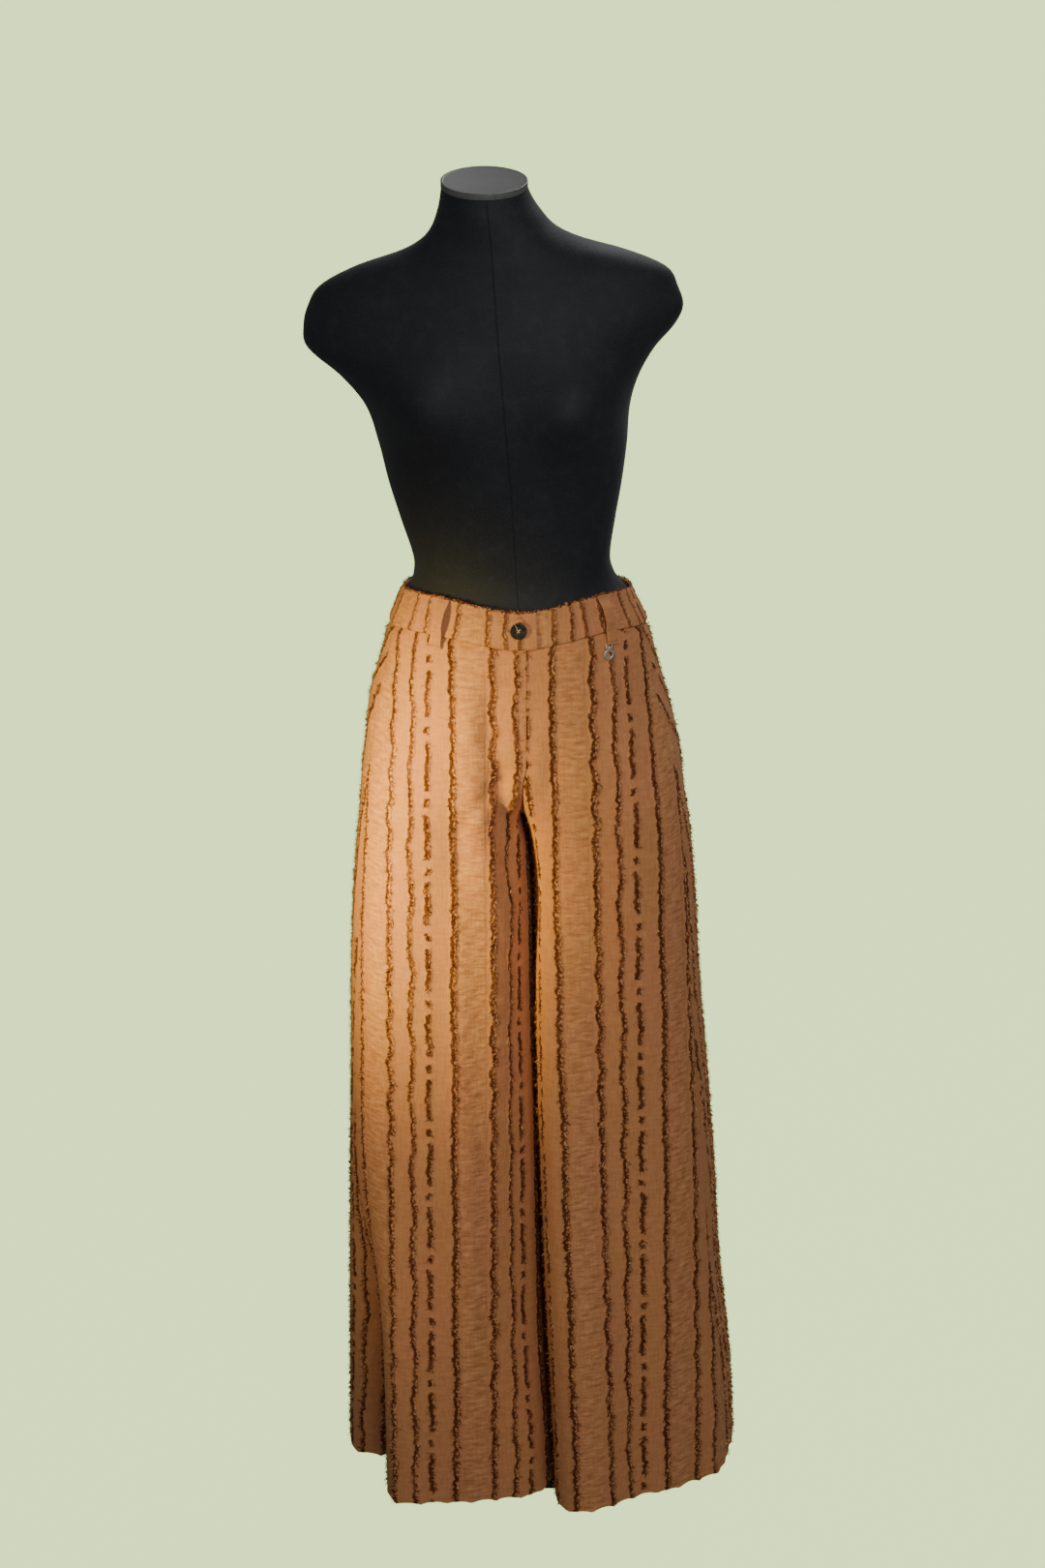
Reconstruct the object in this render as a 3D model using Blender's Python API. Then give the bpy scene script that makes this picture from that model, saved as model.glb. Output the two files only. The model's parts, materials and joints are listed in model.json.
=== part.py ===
"""Wide-leg trousers of clipped-stripe cloth, hung on a limbless dress form with a flat base.

Metres, +Z up, the front faces -Y, the wearer's right is -X. Every cloth piece is a closed wall.
"""
import bpy
import bmesh
import math
from collections import namedtuple
from mathutils import Matrix, Vector
from mathutils.geometry import delaunay_2d_cdt

SEAM = 0.0003
PANEL_WALL = 0.0016
BAND_WALL = 0.0030
BAND_PROUD = 0.0012
LOOP_WALL = 0.0020
HEM = 0.0200
HEM_SCALLOP = 0.0035
CROTCH = 0.830
BAND_SEAM_FRONT = 1.0230
BAND_HEIGHT = 0.0400
BAND_MIDDLE = 1.0480
CROTCH_PLAIN = 0.0120
CROTCH_BLEND = 0.0400
SEAM_FADE = 0.0220
RIB_FADE = 0.0080
FLY_END = 0.8740
FLY_RISE = 0.0170
FLY_GROW = 0.0220
FLY_RAMP = (-0.0240, -0.0095)
FLY_LAP = 0.0040
BAND_LAP = 0.0113
BAND_UNDERLAP = -0.0240
BAND_COLUMNS = [0.0155 * k for k in range(-26, 27)]
REPEAT = 0.1160
REPEAT_START = -0.0380
REPEATS = 6
GRAIN_RUN = {"right": -0.0810, "left": 0.0780}
HEADING_STEP = 1.0
BAND_RAMP = (-0.0520, -0.0280)

# One row a height of one trouser leg. The reaches are from (centre_x, 0) toward the outer side,
# the inner side, the front and the back; square is the power of the rounded section.
Leg = namedtuple("Leg", "height centre_x outer inner front back front_square inner_square"
                 " back_square grain_x")
RIGHT_LEG = [
    Leg(0.010, -0.0840, 0.1200, 0.1220, 0.1470, 0.1600, 3.2, 3.4, 2.4, -0.076),
    Leg(0.129, -0.0845, 0.1175, 0.1145, 0.1440, 0.1560, 3.1, 3.5, 2.4, -0.076),
    Leg(0.255, -0.0850, 0.1150, 0.1080, 0.1400, 0.1480, 3.0, 3.7, 2.4, -0.076),
    Leg(0.379, -0.0855, 0.1115, 0.1035, 0.1350, 0.1400, 2.9, 3.9, 2.4, -0.076),
    Leg(0.500, -0.0865, 0.1075, 0.1010, 0.1300, 0.1320, 2.8, 4.1, 2.4, -0.076),
    Leg(0.619, -0.0880, 0.1040, 0.1000, 0.1255, 0.1250, 2.7, 4.3, 2.4, -0.076),
    Leg(0.712, -0.0885, 0.1000, 0.0985, 0.1215, 0.1200, 2.6, 4.5, 2.4, -0.076),
    Leg(0.790, -0.0890, 0.0930, 0.0940, 0.1190, 0.1200, 2.6, 4.5, 2.4, -0.076),
    Leg(0.830, -0.0885, 0.0895, 0.0883, 0.1175, 0.1220, 2.5, 4.5, 2.3, -0.076),
    Leg(0.860, -0.0650, 0.1110, 0.0860, 0.1165, 0.1250, 2.5, 4.5, 2.3, -0.076),
    Leg(0.890, -0.0380, 0.1345, 0.0980, 0.1145, 0.1260, 2.4, 4.0, 2.3, -0.076),
    Leg(0.930, -0.0100, 0.1590, 0.1400, 0.1110, 0.1210, 2.3, 3.0, 2.2, -0.076),
    Leg(0.960, 0.0000, 0.1640, 0.1640, 0.1085, 0.1150, 2.2, 2.2, 2.2, -0.076),
    Leg(1.000, 0.0000, 0.1520, 0.1520, 0.1040, 0.1060, 2.2, 2.2, 2.1, -0.076),
    Leg(1.030, 0.0000, 0.1440, 0.1440, 0.1005, 0.0990, 2.1, 2.1, 2.1, -0.076),
    Leg(1.060, 0.0000, 0.1315, 0.1315, 0.0965, 0.0940, 2.1, 2.1, 2.1, -0.076),
    Leg(1.090, 0.0000, 0.1190, 0.1190, 0.0940, 0.0910, 2.1, 2.1, 2.1, -0.076),
]
LEFT_LEG = [
    Leg(0.010, 0.1470, 0.1025, 0.1010, 0.1230, 0.1600, 1.9, 3.2, 2.4, 0.102),
    Leg(0.129, 0.1430, 0.1000, 0.1050, 0.1230, 0.1560, 1.9, 3.3, 2.4, 0.098),
    Leg(0.255, 0.1360, 0.0925, 0.1050, 0.1230, 0.1480, 2.0, 3.5, 2.4, 0.094),
    Leg(0.379, 0.1280, 0.0920, 0.1015, 0.1220, 0.1400, 2.1, 3.8, 2.4, 0.090),
    Leg(0.500, 0.1190, 0.0910, 0.0975, 0.1200, 0.1320, 2.2, 4.1, 2.4, 0.086),
    Leg(0.619, 0.1090, 0.0900, 0.0905, 0.1180, 0.1250, 2.3, 4.3, 2.4, 0.083),
    Leg(0.712, 0.1010, 0.0920, 0.0855, 0.1170, 0.1200, 2.4, 4.5, 2.4, 0.080),
    Leg(0.790, 0.0940, 0.0915, 0.0843, 0.1170, 0.1200, 2.5, 4.5, 2.4, 0.078),
    Leg(0.830, 0.0885, 0.0905, 0.0883, 0.1175, 0.1220, 2.5, 4.5, 2.3, 0.077),
    Leg(0.860, 0.0650, 0.1105, 0.0860, 0.1165, 0.1250, 2.5, 4.5, 2.3, 0.076),
    Leg(0.890, 0.0380, 0.1340, 0.0980, 0.1145, 0.1260, 2.4, 4.0, 2.3, 0.075),
    Leg(0.930, 0.0100, 0.1525, 0.1400, 0.1110, 0.1210, 2.3, 3.0, 2.2, 0.074),
    Leg(0.960, 0.0000, 0.1540, 0.1540, 0.1085, 0.1150, 2.2, 2.2, 2.2, 0.073),
    Leg(1.000, 0.0000, 0.1425, 0.1425, 0.1040, 0.1060, 2.2, 2.2, 2.1, 0.072),
    Leg(1.030, 0.0000, 0.1340, 0.1340, 0.1005, 0.0990, 2.1, 2.1, 2.1, 0.072),
    Leg(1.060, 0.0000, 0.1195, 0.1195, 0.0965, 0.0940, 2.1, 2.1, 2.1, 0.072),
    Leg(1.090, 0.0000, 0.1100, 0.1100, 0.0940, 0.0910, 2.1, 2.1, 2.1, 0.072),
]

# One row a fold: heading in degrees (0 outer side, 90 front, 180 inner side, 270 back), width in
# degrees, and how far it pushes the wall out at its low and its high end.
Fold = namedtuple("Fold", "leg low high low_heading high_heading width low_push high_push")
FOLDS = [
    Fold("right", 0.000, 0.500, 39, 40, 16, -0.0860, 0.0000),
    Fold("right", 0.000, 0.560, 69, 66, 9, 0.0080, 0.0000),
    Fold("right", 0.000, 0.850, 112, 104, 9, -0.0050, -0.0040),
    Fold("right", 0.000, 0.800, 134, 138, 12, 0.0060, 0.0030),
    Fold("right", 0.740, 1.010, 101, 106, 7, -0.0055, -0.0020),
    Fold("right", 0.700, 1.000, 116, 97, 8, 0.0030, 0.0010),
    Fold("right", 0.000, 0.900, 200, 197, 9, 0.0135, 0.0095),
    Fold("right", 0.000, 0.700, 232, 238, 14, -0.0220, 0.0000),
    Fold("right", 0.000, 0.800, 262, 266, 12, 0.0100, 0.0020),
    Fold("right", 0.000, 0.600, 292, 290, 13, -0.0200, 0.0000),
    Fold("right", 0.000, 0.600, 325, 322, 14, 0.0080, 0.0000),
    Fold("left", 0.000, 0.780, 119, 128, 17, 0.0610, 0.0020),
    Fold("left", 0.000, 0.720, 64, 60, 11, -0.0050, 0.0000),
    Fold("left", 0.000, 0.620, 44, 42, 10, 0.0045, 0.0000),
    Fold("left", 0.000, 0.560, 16, 20, 10, -0.0040, 0.0000),
    Fold("left", 0.000, 0.900, 204, 201, 14, -0.0060, -0.0045),
    Fold("left", 0.000, 0.700, 236, 240, 13, -0.0240, 0.0000),
    Fold("left", 0.000, 0.800, 264, 266, 12, 0.0080, 0.0020),
    Fold("left", 0.000, 0.640, 296, 292, 15, -0.0260, 0.0000),
    Fold("left", 0.000, 0.600, 328, 322, 13, 0.0070, 0.0000),
]

# One row a woven stripe of the repeat: where it lies, half its width and how proud it stands.
Stripe = namedtuple("Stripe", "name offset half_width proud")
STRIPES = [
    Stripe("wavy_pair", 0.004, 0.0055, 0.0012),
    Stripe("bulging", 0.029, 0.0040, 0.0011),
    Stripe("dashed", 0.0478, 0.0038, 0.0010),
    Stripe("speckled", 0.0755, 0.0045, 0.0011),
]
PLAIN_COLUMNS = (0.0165, 0.0970)

# Climb of the waist edge by heading round the body: 0 centre front, plus toward the wearer's left.
Edge = namedtuple("Edge", "height rise")
WAIST_EDGE = [
    Edge(-180.0, 0.0030), Edge(-130.0, 0.0005), Edge(-90.0, 0.0050), Edge(-52.0, 0.0098),
    Edge(0.0, 0.0000), Edge(52.0, 0.0122), Edge(90.0, 0.0045), Edge(130.0, -0.0005),
    Edge(180.0, 0.0030),
]

# Heading of the side seam by height, in degrees from each leg's outer side toward the front.
Side = namedtuple("Side", "height right left")
SIDE_SEAM = [
    Side(0.010, 34.0, 40.0), Side(0.790, 34.0, 40.0), Side(0.830, 31.0, 36.0),
    Side(0.860, 25.0, 28.5), Side(0.890, 20.5, 23.0), Side(0.930, 16.0, 18.0),
    Side(0.960, 14.5, 16.0), Side(1.000, 12.5, 14.0), Side(1.060, 10.0, 11.0),
]

ROWS = [0.062, 0.104, 0.148, 0.194, 0.240, 0.288, 0.336, 0.386, 0.436, 0.486, 0.536,
        0.586, 0.636, 0.684, 0.730, 0.772, 0.806, 0.830, 0.842, 0.856, 0.874, 0.885, 0.896,
        0.922, 0.950, 0.980, 1.004]

# One row a height of the dress form, as an upright rounded section. Below HIP_MERGE the form
# follows the inside of the trousers, so that the waistband rests on it.
Torso = namedtuple("Torso", "height centre_x half_width front back square")
TORSO = [
    Torso(0.960, -0.0048, 0.1530, 0.1040, 0.1105, 2.2),
    Torso(1.030, -0.0050, 0.1335, 0.0955, 0.0945, 2.1),
    Torso(1.060, -0.0060, 0.1190, 0.0890, 0.0860, 2.1),
    Torso(1.080, -0.0090, 0.1095, 0.0850, 0.0805, 2.1),
    Torso(1.100, -0.0115, 0.1065, 0.0830, 0.0780, 2.1),
    Torso(1.142, -0.0155, 0.1155, 0.0860, 0.0790, 2.1),
    Torso(1.185, -0.0185, 0.1255, 0.0915, 0.0850, 2.1),
    Torso(1.227, -0.0210, 0.1330, 0.0960, 0.0930, 2.1),
    Torso(1.269, -0.0265, 0.1415, 0.0980, 0.1000, 2.1),
    Torso(1.300, -0.0350, 0.1590, 0.0960, 0.1040, 2.0),
    Torso(1.330, -0.0440, 0.1850, 0.0910, 0.1050, 1.9),
    Torso(1.353, -0.0355, 0.1965, 0.0850, 0.1020, 1.8),
    Torso(1.373, -0.0285, 0.1985, 0.0780, 0.0970, 1.8),
    Torso(1.394, -0.0250, 0.1890, 0.0700, 0.0890, 1.8),
    Torso(1.414, -0.0125, 0.1645, 0.0600, 0.0790, 1.8),
    Torso(1.430, -0.0080, 0.1220, 0.0530, 0.0700, 1.8),
    Torso(1.442, -0.0200, 0.0880, 0.0500, 0.0640, 1.9),
    Torso(1.455, -0.0295, 0.0670, 0.0490, 0.0580, 2.0),
    Torso(1.475, -0.0355, 0.0535, 0.0490, 0.0500, 2.0),
    Torso(1.488, -0.0385, 0.0480, 0.0480, 0.0465, 2.0),
    Torso(1.498, -0.0400, 0.0453, 0.0470, 0.0440, 2.0),
]
HIP_MERGE = 1.0500
WAIST_MERGE = 1.0800
BAND_FOOT = 1.0240
HIP_CLEAR = 0.0044
BAND_CLEAR = 0.0030
BUST_HEIGHT = 1.278
BUST_SPREAD = 0.048
BUST_RISE = 0.030
BUST_XS = (-0.105, 0.062)
NECK_TILT = math.radians(10.0)
NECK_FOOT = 1.4420
NECK_CAP = 0.0070
AROUND = 64

BASE_SIZE = (0.290, 0.210)
BASE_CENTRE = (0.010, 0.020)
BASE_THICK = 0.0080
BASE_CORNER = 0.030
POLE_XY = (-0.080, 0.020)
POLE_RADIUS = 0.0125

BUTTON_X = -0.0070
BUTTON_HEIGHT = 1.0440
BUTTON_RADIUS = 0.0088
BUTTON_THICK = 0.0034
LOOP_HALF = 0.0072
LOOP_BOW = 0.0024
LOOP_BELOW = 0.0130
BUTTON_HOLE = 0.0009
BUTTON_HOLES_OUT = 0.0023
CHARM_RUN = 0.0985
CHARM_RADIUS = 0.0064
CHARM_HOLE = 0.0034
CHARM_THICK = 0.0016
CHARM_EYE = 0.0018
CHARM_EYE_HOLE = 0.0011
CHARM_EYE_LENGTH = 0.0030
CHARM_SINK = 0.0006
CHARM_BAR = 0.0008
CHARM_BAR_LENGTH = 0.0090
CHARM_POST = 0.0007
CHARM_POST_LENGTH = 0.0042
CHARM_POST_X = 0.0034
CHARM_DROP = 0.0018
CHARM_STAND_OFF = 0.0046

for old in list(bpy.data.objects):
    bpy.data.objects.remove(old, do_unlink=True)


def material(name, colour, roughness, metallic=0.0):
    slot = bpy.data.materials.new(name)
    slot.use_nodes = True
    shader = slot.node_tree.nodes["Principled BSDF"]
    shader.inputs["Base Color"].default_value = (*colour, 1.0)
    shader.inputs["Roughness"].default_value = roughness
    shader.inputs["Metallic"].default_value = metallic
    slot.diffuse_color = (*colour, 1.0)
    slot.roughness = roughness
    slot.metallic = metallic
    return slot


CLOTH = material("stripe_cloth", (0.46, 0.225, 0.115), 0.85)
JERSEY = material("black_jersey", (0.010, 0.010, 0.012), 0.80)
CAP_GREY = material("cap_grey", (0.11, 0.11, 0.11), 0.45)
HORN = material("black_horn", (0.012, 0.011, 0.010), 0.25)
SILVER = material("silver_metal", (0.72, 0.71, 0.70), 0.25, 1.0)
STEEL = material("stand_black", (0.020, 0.020, 0.021), 0.50)


def between(rows, height):
    """Smooth run of every column of a table of sections, by height."""
    if height <= rows[0].height:
        return rows[0]
    if height >= rows[-1].height:
        return rows[-1]
    k = 0
    while rows[k + 1].height < height:
        k += 1
    low = rows[max(k - 1, 0)]
    a = rows[k]
    b = rows[k + 1]
    high = rows[min(k + 2, len(rows) - 1)]
    span = b.height - a.height
    t = (height - a.height) / span
    values = []
    for before, start, end, after in zip(low, a, b, high):
        slope_a = (end - before) / max(b.height - low.height, 1e-9) * span
        slope_b = (after - start) / max(high.height - a.height, 1e-9) * span
        t2 = t * t
        t3 = t2 * t
        values.append((2 * t3 - 3 * t2 + 1) * start + (t3 - 2 * t2 + t) * slope_a
                      + (3 * t2 - 2 * t3) * end + (t3 - t2) * slope_b)
    values[0] = height
    return type(a)(*values)


def ease(t):
    t = min(max(t, 0.0), 1.0)
    return t * t * (3.0 - 2.0 * t)


def leg_reach(leg, row, heading):
    """Distance of the leg's face from its centre, at a heading in degrees."""
    along = math.cos(math.radians(heading))
    out = math.sin(math.radians(heading))
    side = row.outer if along > 0 else row.inner
    face = row.front if out > 0 else row.back
    square = row.front_square if along > 0 else row.inner_square
    square = square if out > 0 else row.back_square
    reach = (abs(along / side) ** square + abs(out / face) ** square) ** (-1.0 / square)
    keep = 1.0
    if row.height > CROTCH - CROTCH_BLEND:
        beside = ease((abs(row.centre_x) + reach * along) / SEAM_FADE)
        keep = 1.0 + (beside - 1.0) * ease((row.height - CROTCH) / CROTCH_BLEND + 1.0)
    for fold in FOLDS:
        if fold.leg != leg or not fold.low <= row.height <= fold.high:
            continue
        t = (row.height - fold.low) / (fold.high - fold.low)
        centre = fold.low_heading + (fold.high_heading - fold.low_heading) * t
        push = fold.low_push + (fold.high_push - fold.low_push) * t
        if fold.high_push:
            push *= ease((1.0 - t) * 6.0)
        else:
            push *= ease((1.0 - t) * 1.6)
        if fold.low > 0.0:
            push *= ease(t * 5.0)
        away = ((heading - centre + 180.0) % 360.0 - 180.0) / fold.width
        reach += keep * push * math.exp(-away * away)
    return reach


RING_CACHE = {}


def ring(leg, face, height):
    """Points round one leg at one height with the run of cloth from its grain line."""
    key = (leg, face, round(height, 6))
    if key in RING_CACHE:
        return RING_CACHE[key]
    row = between(RIGHT_LEG if leg == "right" else LEFT_LEG, height)
    side = -1.0 if leg == "right" else 1.0
    first, last = (-100.0, 192.0) if face == "front" else (168.0, 400.0)
    count = int((last - first) / HEADING_STEP) + 1
    points = []
    for k in range(count):
        heading = first + k * HEADING_STEP
        reach = leg_reach(leg, row, heading)
        x = row.centre_x + side * reach * math.cos(math.radians(heading))
        y = -reach * math.sin(math.radians(heading))
        points.append((x, y))
    run = [0.0]
    for before, after in zip(points, points[1:]):
        run.append(run[-1] + math.dist(before, after))
    middle = 90.0 if face == "front" else 270.0
    start = int((middle - first) / HEADING_STEP)
    best = None
    for k in range(max(start - 70, 0), min(start + 70, count - 1)):
        x0 = points[k][0] - row.grain_x
        x1 = points[k + 1][0] - row.grain_x
        if x0 * x1 <= 0.0 and x0 != x1:
            t = x0 / (x0 - x1)
            here = run[k] + (run[k + 1] - run[k]) * t
            if best is None or abs(k - start) < best[0]:
                best = (abs(k - start), here)
    origin = best[1]
    toward = 1.0 if (leg == "right") == (face == "front") else -1.0
    us = [GRAIN_RUN[leg] + toward * (value - origin) for value in run]
    if toward < 0:
        us.reverse()
        points.reverse()
    RING_CACHE[key] = (us, points)
    return RING_CACHE[key]


def on_ring(leg, face, u, height):
    us, points = ring(leg, face, height)
    if u <= us[0]:
        k = 0
    elif u >= us[-1]:
        k = len(us) - 2
    else:
        low = 0
        high = len(us) - 1
        while high - low > 1:
            mid = (low + high) // 2
            if us[mid] <= u:
                low = mid
            else:
                high = mid
        k = low
    t = (u - us[k]) / (us[k + 1] - us[k])
    x = points[k][0] + (points[k + 1][0] - points[k][0]) * t
    y = points[k][1] + (points[k + 1][1] - points[k][1]) * t
    return Vector((x, y, height))


def u_at_heading(leg, face, height, heading):
    row = between(RIGHT_LEG if leg == "right" else LEFT_LEG, height)
    side = -1.0 if leg == "right" else 1.0
    reach = leg_reach(leg, row, heading)
    spot = (row.centre_x + side * reach * math.cos(math.radians(heading)),
            -reach * math.sin(math.radians(heading)))
    us, points = ring(leg, face, height)
    best = min(range(len(points) - 1), key=lambda k: math.dist(points[k], spot)
               + math.dist(points[k + 1], spot))
    whole = math.dist(points[best], points[best + 1])
    part = math.dist(points[best], spot)
    return us[best] + (us[best + 1] - us[best]) * part / whole


def inner_edge(leg, face, height):
    """Cloth run at the inseam, or at the centre seam above the crotch."""
    if height <= CROTCH:
        return u_at_heading(leg, face, height, 180.0)
    us, points = ring(leg, face, height)
    side = -1.0 if leg == "right" else 1.0
    middle = 1 if face == "front" else -1
    best = None
    for k in range(len(us) - 1):
        x0 = points[k][0]
        x1 = points[k + 1][0]
        if (x0 * side <= 0.0) != (x1 * side <= 0.0) and points[k][1] * middle < 0.02:
            t = x0 / (x0 - x1)
            u = us[k] + (us[k + 1] - us[k]) * t
            if best is None or abs(u) < abs(best):
                best = u
    if best is None:
        return u_at_heading(leg, face, height, 180.0)
    return best


def outward(leg, face, u, height):
    """Unit normal of the cloth face, pointing away from the leg's inside."""
    du = 0.0015
    dz = 0.004
    across = on_ring(leg, face, u + du, height) - on_ring(leg, face, u - du, height)
    up = on_ring(leg, face, u, height + dz) - on_ring(leg, face, u, height - dz)
    normal = across.cross(up).normalized()
    return normal if face == "front" else -normal


def stripe_proud(u):
    """How far the clipped stripes stand off the cloth at a run."""
    proud = 0.0
    for k in range(-REPEATS, REPEATS + 1):
        for stripe in STRIPES:
            centre = REPEAT_START + k * REPEAT + stripe.offset
            away = abs(u - centre) / stripe.half_width
            if away < 1.0:
                proud = max(proud, stripe.proud * (1.0 - away))
    return proud


def columns(ribs):
    """Grid columns of a sheet: one to each stripe, three where it is raised, and two plain."""
    found = []
    for k in range(-REPEATS, REPEATS + 1):
        start = REPEAT_START + k * REPEAT
        for stripe in STRIPES:
            centre = start + stripe.offset
            found.append(centre)
            if ribs:
                found.append(centre - stripe.half_width)
                found.append(centre + stripe.half_width)
        found.extend(start + offset for offset in PLAIN_COLUMNS)
    return sorted(found)


def add_object(name, vertices, faces, slot):
    mesh = bpy.data.meshes.new(name)
    mesh.from_pydata(vertices, [], faces)
    mesh.materials.append(slot)
    thing = bpy.data.objects.new(name, mesh)
    bpy.context.scene.collection.objects.link(thing)
    work = bmesh.new()
    work.from_mesh(mesh)
    bmesh.ops.recalc_face_normals(work, faces=work.faces)
    bmesh.ops.triangulate(work, faces=[f for f in work.faces if len(f.verts) > 4])
    work.to_mesh(mesh)
    work.free()
    return thing


def flat_pattern(outline, inside):
    """Triangles over an outline and its inside points, with the outline's points first."""
    points = [Vector(p) for p in outline] + [Vector(p) for p in inside]
    loop = list(range(len(outline)))
    spots, _, faces, ids, _, _ = delaunay_2d_cdt(points, [], [loop], 1, 1e-7)
    order = {}
    for k, origin in enumerate(ids):
        for source in origin:
            order[source] = k
    return spots, faces, [order[k] for k in loop]


def half_round(leg, height):
    """Run of cloth from the centre front to the centre back along the waist."""
    us, points = ring(leg, "front", height)
    for k in range(len(us) - 1):
        x0 = points[k][0]
        x1 = points[k + 1][0]
        if (x0 > 0.0) != (x1 > 0.0) and points[k][1] > 0.0:
            return us[k] + (us[k + 1] - us[k]) * x0 / (x0 - x1)
    raise ValueError("the ring doesn't reach the centre back")


def band_run(leg, u, height):
    """Run on the ring at a height for a run measured along the middle of the band."""
    return u * half_round(leg, height) / half_round(leg, BAND_MIDDLE)


def leg_surface(leg, face):
    """Spot and outward normal of a panel; past the centre front it follows the other leg."""
    def surface(u, z):
        if (leg, face) == ("right", "front") and z > CROTCH:
            past = u - inner_edge(leg, face, z)
            if past > 0.0:
                run = inner_edge("left", face, z) + past
                return on_ring("left", face, run, z), outward("left", face, run, z)
        return on_ring(leg, face, u, z), outward(leg, face, u, z)
    return surface


def band_surface(leg):
    """Spot and outward normal on the waist, with runs kept upright round the body."""
    def surface(u, z):
        run = band_run(leg, u, z)
        return on_ring(leg, "front", run, z), outward(leg, "front", run, z)
    return surface


def sheet(name, surface, edge_low, edge_high, bottom, top, rows, us_outer, us_inner,
          lift, wall, ribs, margin, plain=0.0):
    """A closed wall of cloth, its outer points raised by the stripes over a plain inside.

    The first stretch of a sheet, as wide as plain, has no raised stripes.
    """
    outline = []
    bottom_us = [u for u in us_outer
                 if edge_low(bottom(u)) + margin < u < edge_high(bottom(u)) - margin]
    top_us = [u for u in us_outer
              if edge_low(top(u)) + margin < u < edge_high(top(u)) - margin]

    def corner(edge, level):
        height = level(0.0)
        for _ in range(12):
            height = level(edge(height))
        return (edge(height), height)

    low_left = corner(edge_low, bottom)
    low_right = corner(edge_high, bottom)
    high_right = corner(edge_high, top)
    high_left = corner(edge_low, top)
    outline.append(low_left)
    outline.extend((u, bottom(u)) for u in bottom_us)
    outline.append(low_right)
    outline.extend((edge_high(z), z) for z in rows
                   if low_right[1] + 0.004 < z < high_right[1] - 0.004)
    outline.append(high_right)
    outline.extend((u, top(u)) for u in reversed(top_us))
    outline.append(high_left)
    outline.extend((edge_low(z), z) for z in reversed(rows)
                   if low_left[1] + 0.004 < z < high_left[1] - 0.004)

    def grid(us):
        return [(u, z) for z in rows for u in us
                if edge_low(z) + margin < u < edge_high(z) - margin
                and bottom(u) + 0.006 < z < top(u) - 0.006]

    outer_spots, outer_faces, outer_loop = flat_pattern(outline, grid(us_outer))
    inner_spots, inner_faces, inner_loop = flat_pattern(outline, grid(us_inner))
    vertices = []
    for u, z in outer_spots:
        near = min(u - edge_low(z) - plain, edge_high(z) - u, top(u) - z)
        raised = ribs * stripe_proud(u) * ease(near / RIB_FADE)
        spot, normal = surface(u, z)
        if z < FLY_END:
            raised *= ease(abs(spot.x) / CROTCH_PLAIN)
        vertices.append(spot + normal * (lift(u, z) + raised))
    first_inner = len(vertices)
    for u, z in inner_spots:
        spot, normal = surface(u, z)
        vertices.append(spot + normal * (lift(u, z) - wall))
    faces = [tuple(f) for f in outer_faces]
    faces += [tuple(first_inner + k for k in reversed(f)) for f in inner_faces]
    count = len(outer_loop)
    for k in range(count):
        a = outer_loop[k]
        b = outer_loop[(k + 1) % count]
        c = first_inner + inner_loop[(k + 1) % count]
        d = first_inner + inner_loop[k]
        faces.append((a, b, c, d))
    return add_object(name, vertices, faces, CLOTH)


def waist_rise(leg, face, u):
    """How far the waist edge climbs above its lowest point at the centre front."""
    spot = on_ring(leg, face, u, 1.030)
    return between(WAIST_EDGE, math.degrees(math.atan2(spot.x, -spot.y))).rise


def band_rise(leg, u):
    return waist_rise(leg, "front", band_run(leg, u, 1.030))


def hem_line(u):
    wave = abs(math.sin(math.pi * (u - REPEAT_START - 0.004) / (REPEAT / 4.0)))
    return HEM - HEM_SCALLOP * (1.0 - wave ** 0.6)


def side_edge(leg, face):
    turn = 0.0 if face == "front" else 360.0

    def edge(height):
        seam = between(SIDE_SEAM, height)
        return u_at_heading(leg, face, height, turn + (seam.right if leg == "right" else seam.left))
    return edge


for leg in ("right", "left"):
    for face in ("front", "back"):
        half = SEAM / 2.0
        outer_edge = side_edge(leg, face)
        sign = -1.0 if leg == "right" else 1.0

        def centre_edge(height, leg=leg, face=face, sign=sign):
            edge = inner_edge(leg, face, height) + sign * half
            if leg == "right" and face == "front":
                edge += FLY_LAP * ease((height - FLY_END) / FLY_GROW)
            return edge

        def seam_edge(height, outer_edge=outer_edge, sign=sign):
            return outer_edge(height) - sign * half

        low, high = (seam_edge, centre_edge) if leg == "right" else (centre_edge, seam_edge)

        def upper(u, leg=leg, face=face):
            return BAND_SEAM_FRONT - SEAM + waist_rise(leg, face, u)

        def lift(u, z, leg=leg, face=face):
            if leg == "right" and face == "front":
                lap = PANEL_WALL + SEAM
                across = (u - FLY_RAMP[0]) / (FLY_RAMP[1] - FLY_RAMP[0])
                return lap * ease(across) * ease((z - FLY_END + FLY_RISE) / FLY_RISE)
            return 0.0

        plain = FLY_LAP if (leg, face) == ("left", "front") else 0.0
        sheet(face + "_" + leg, leg_surface(leg, face), low, high, hem_line, upper, ROWS,
              columns(True), columns(False), lift, PANEL_WALL, 1.0, 0.003, plain)

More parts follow.
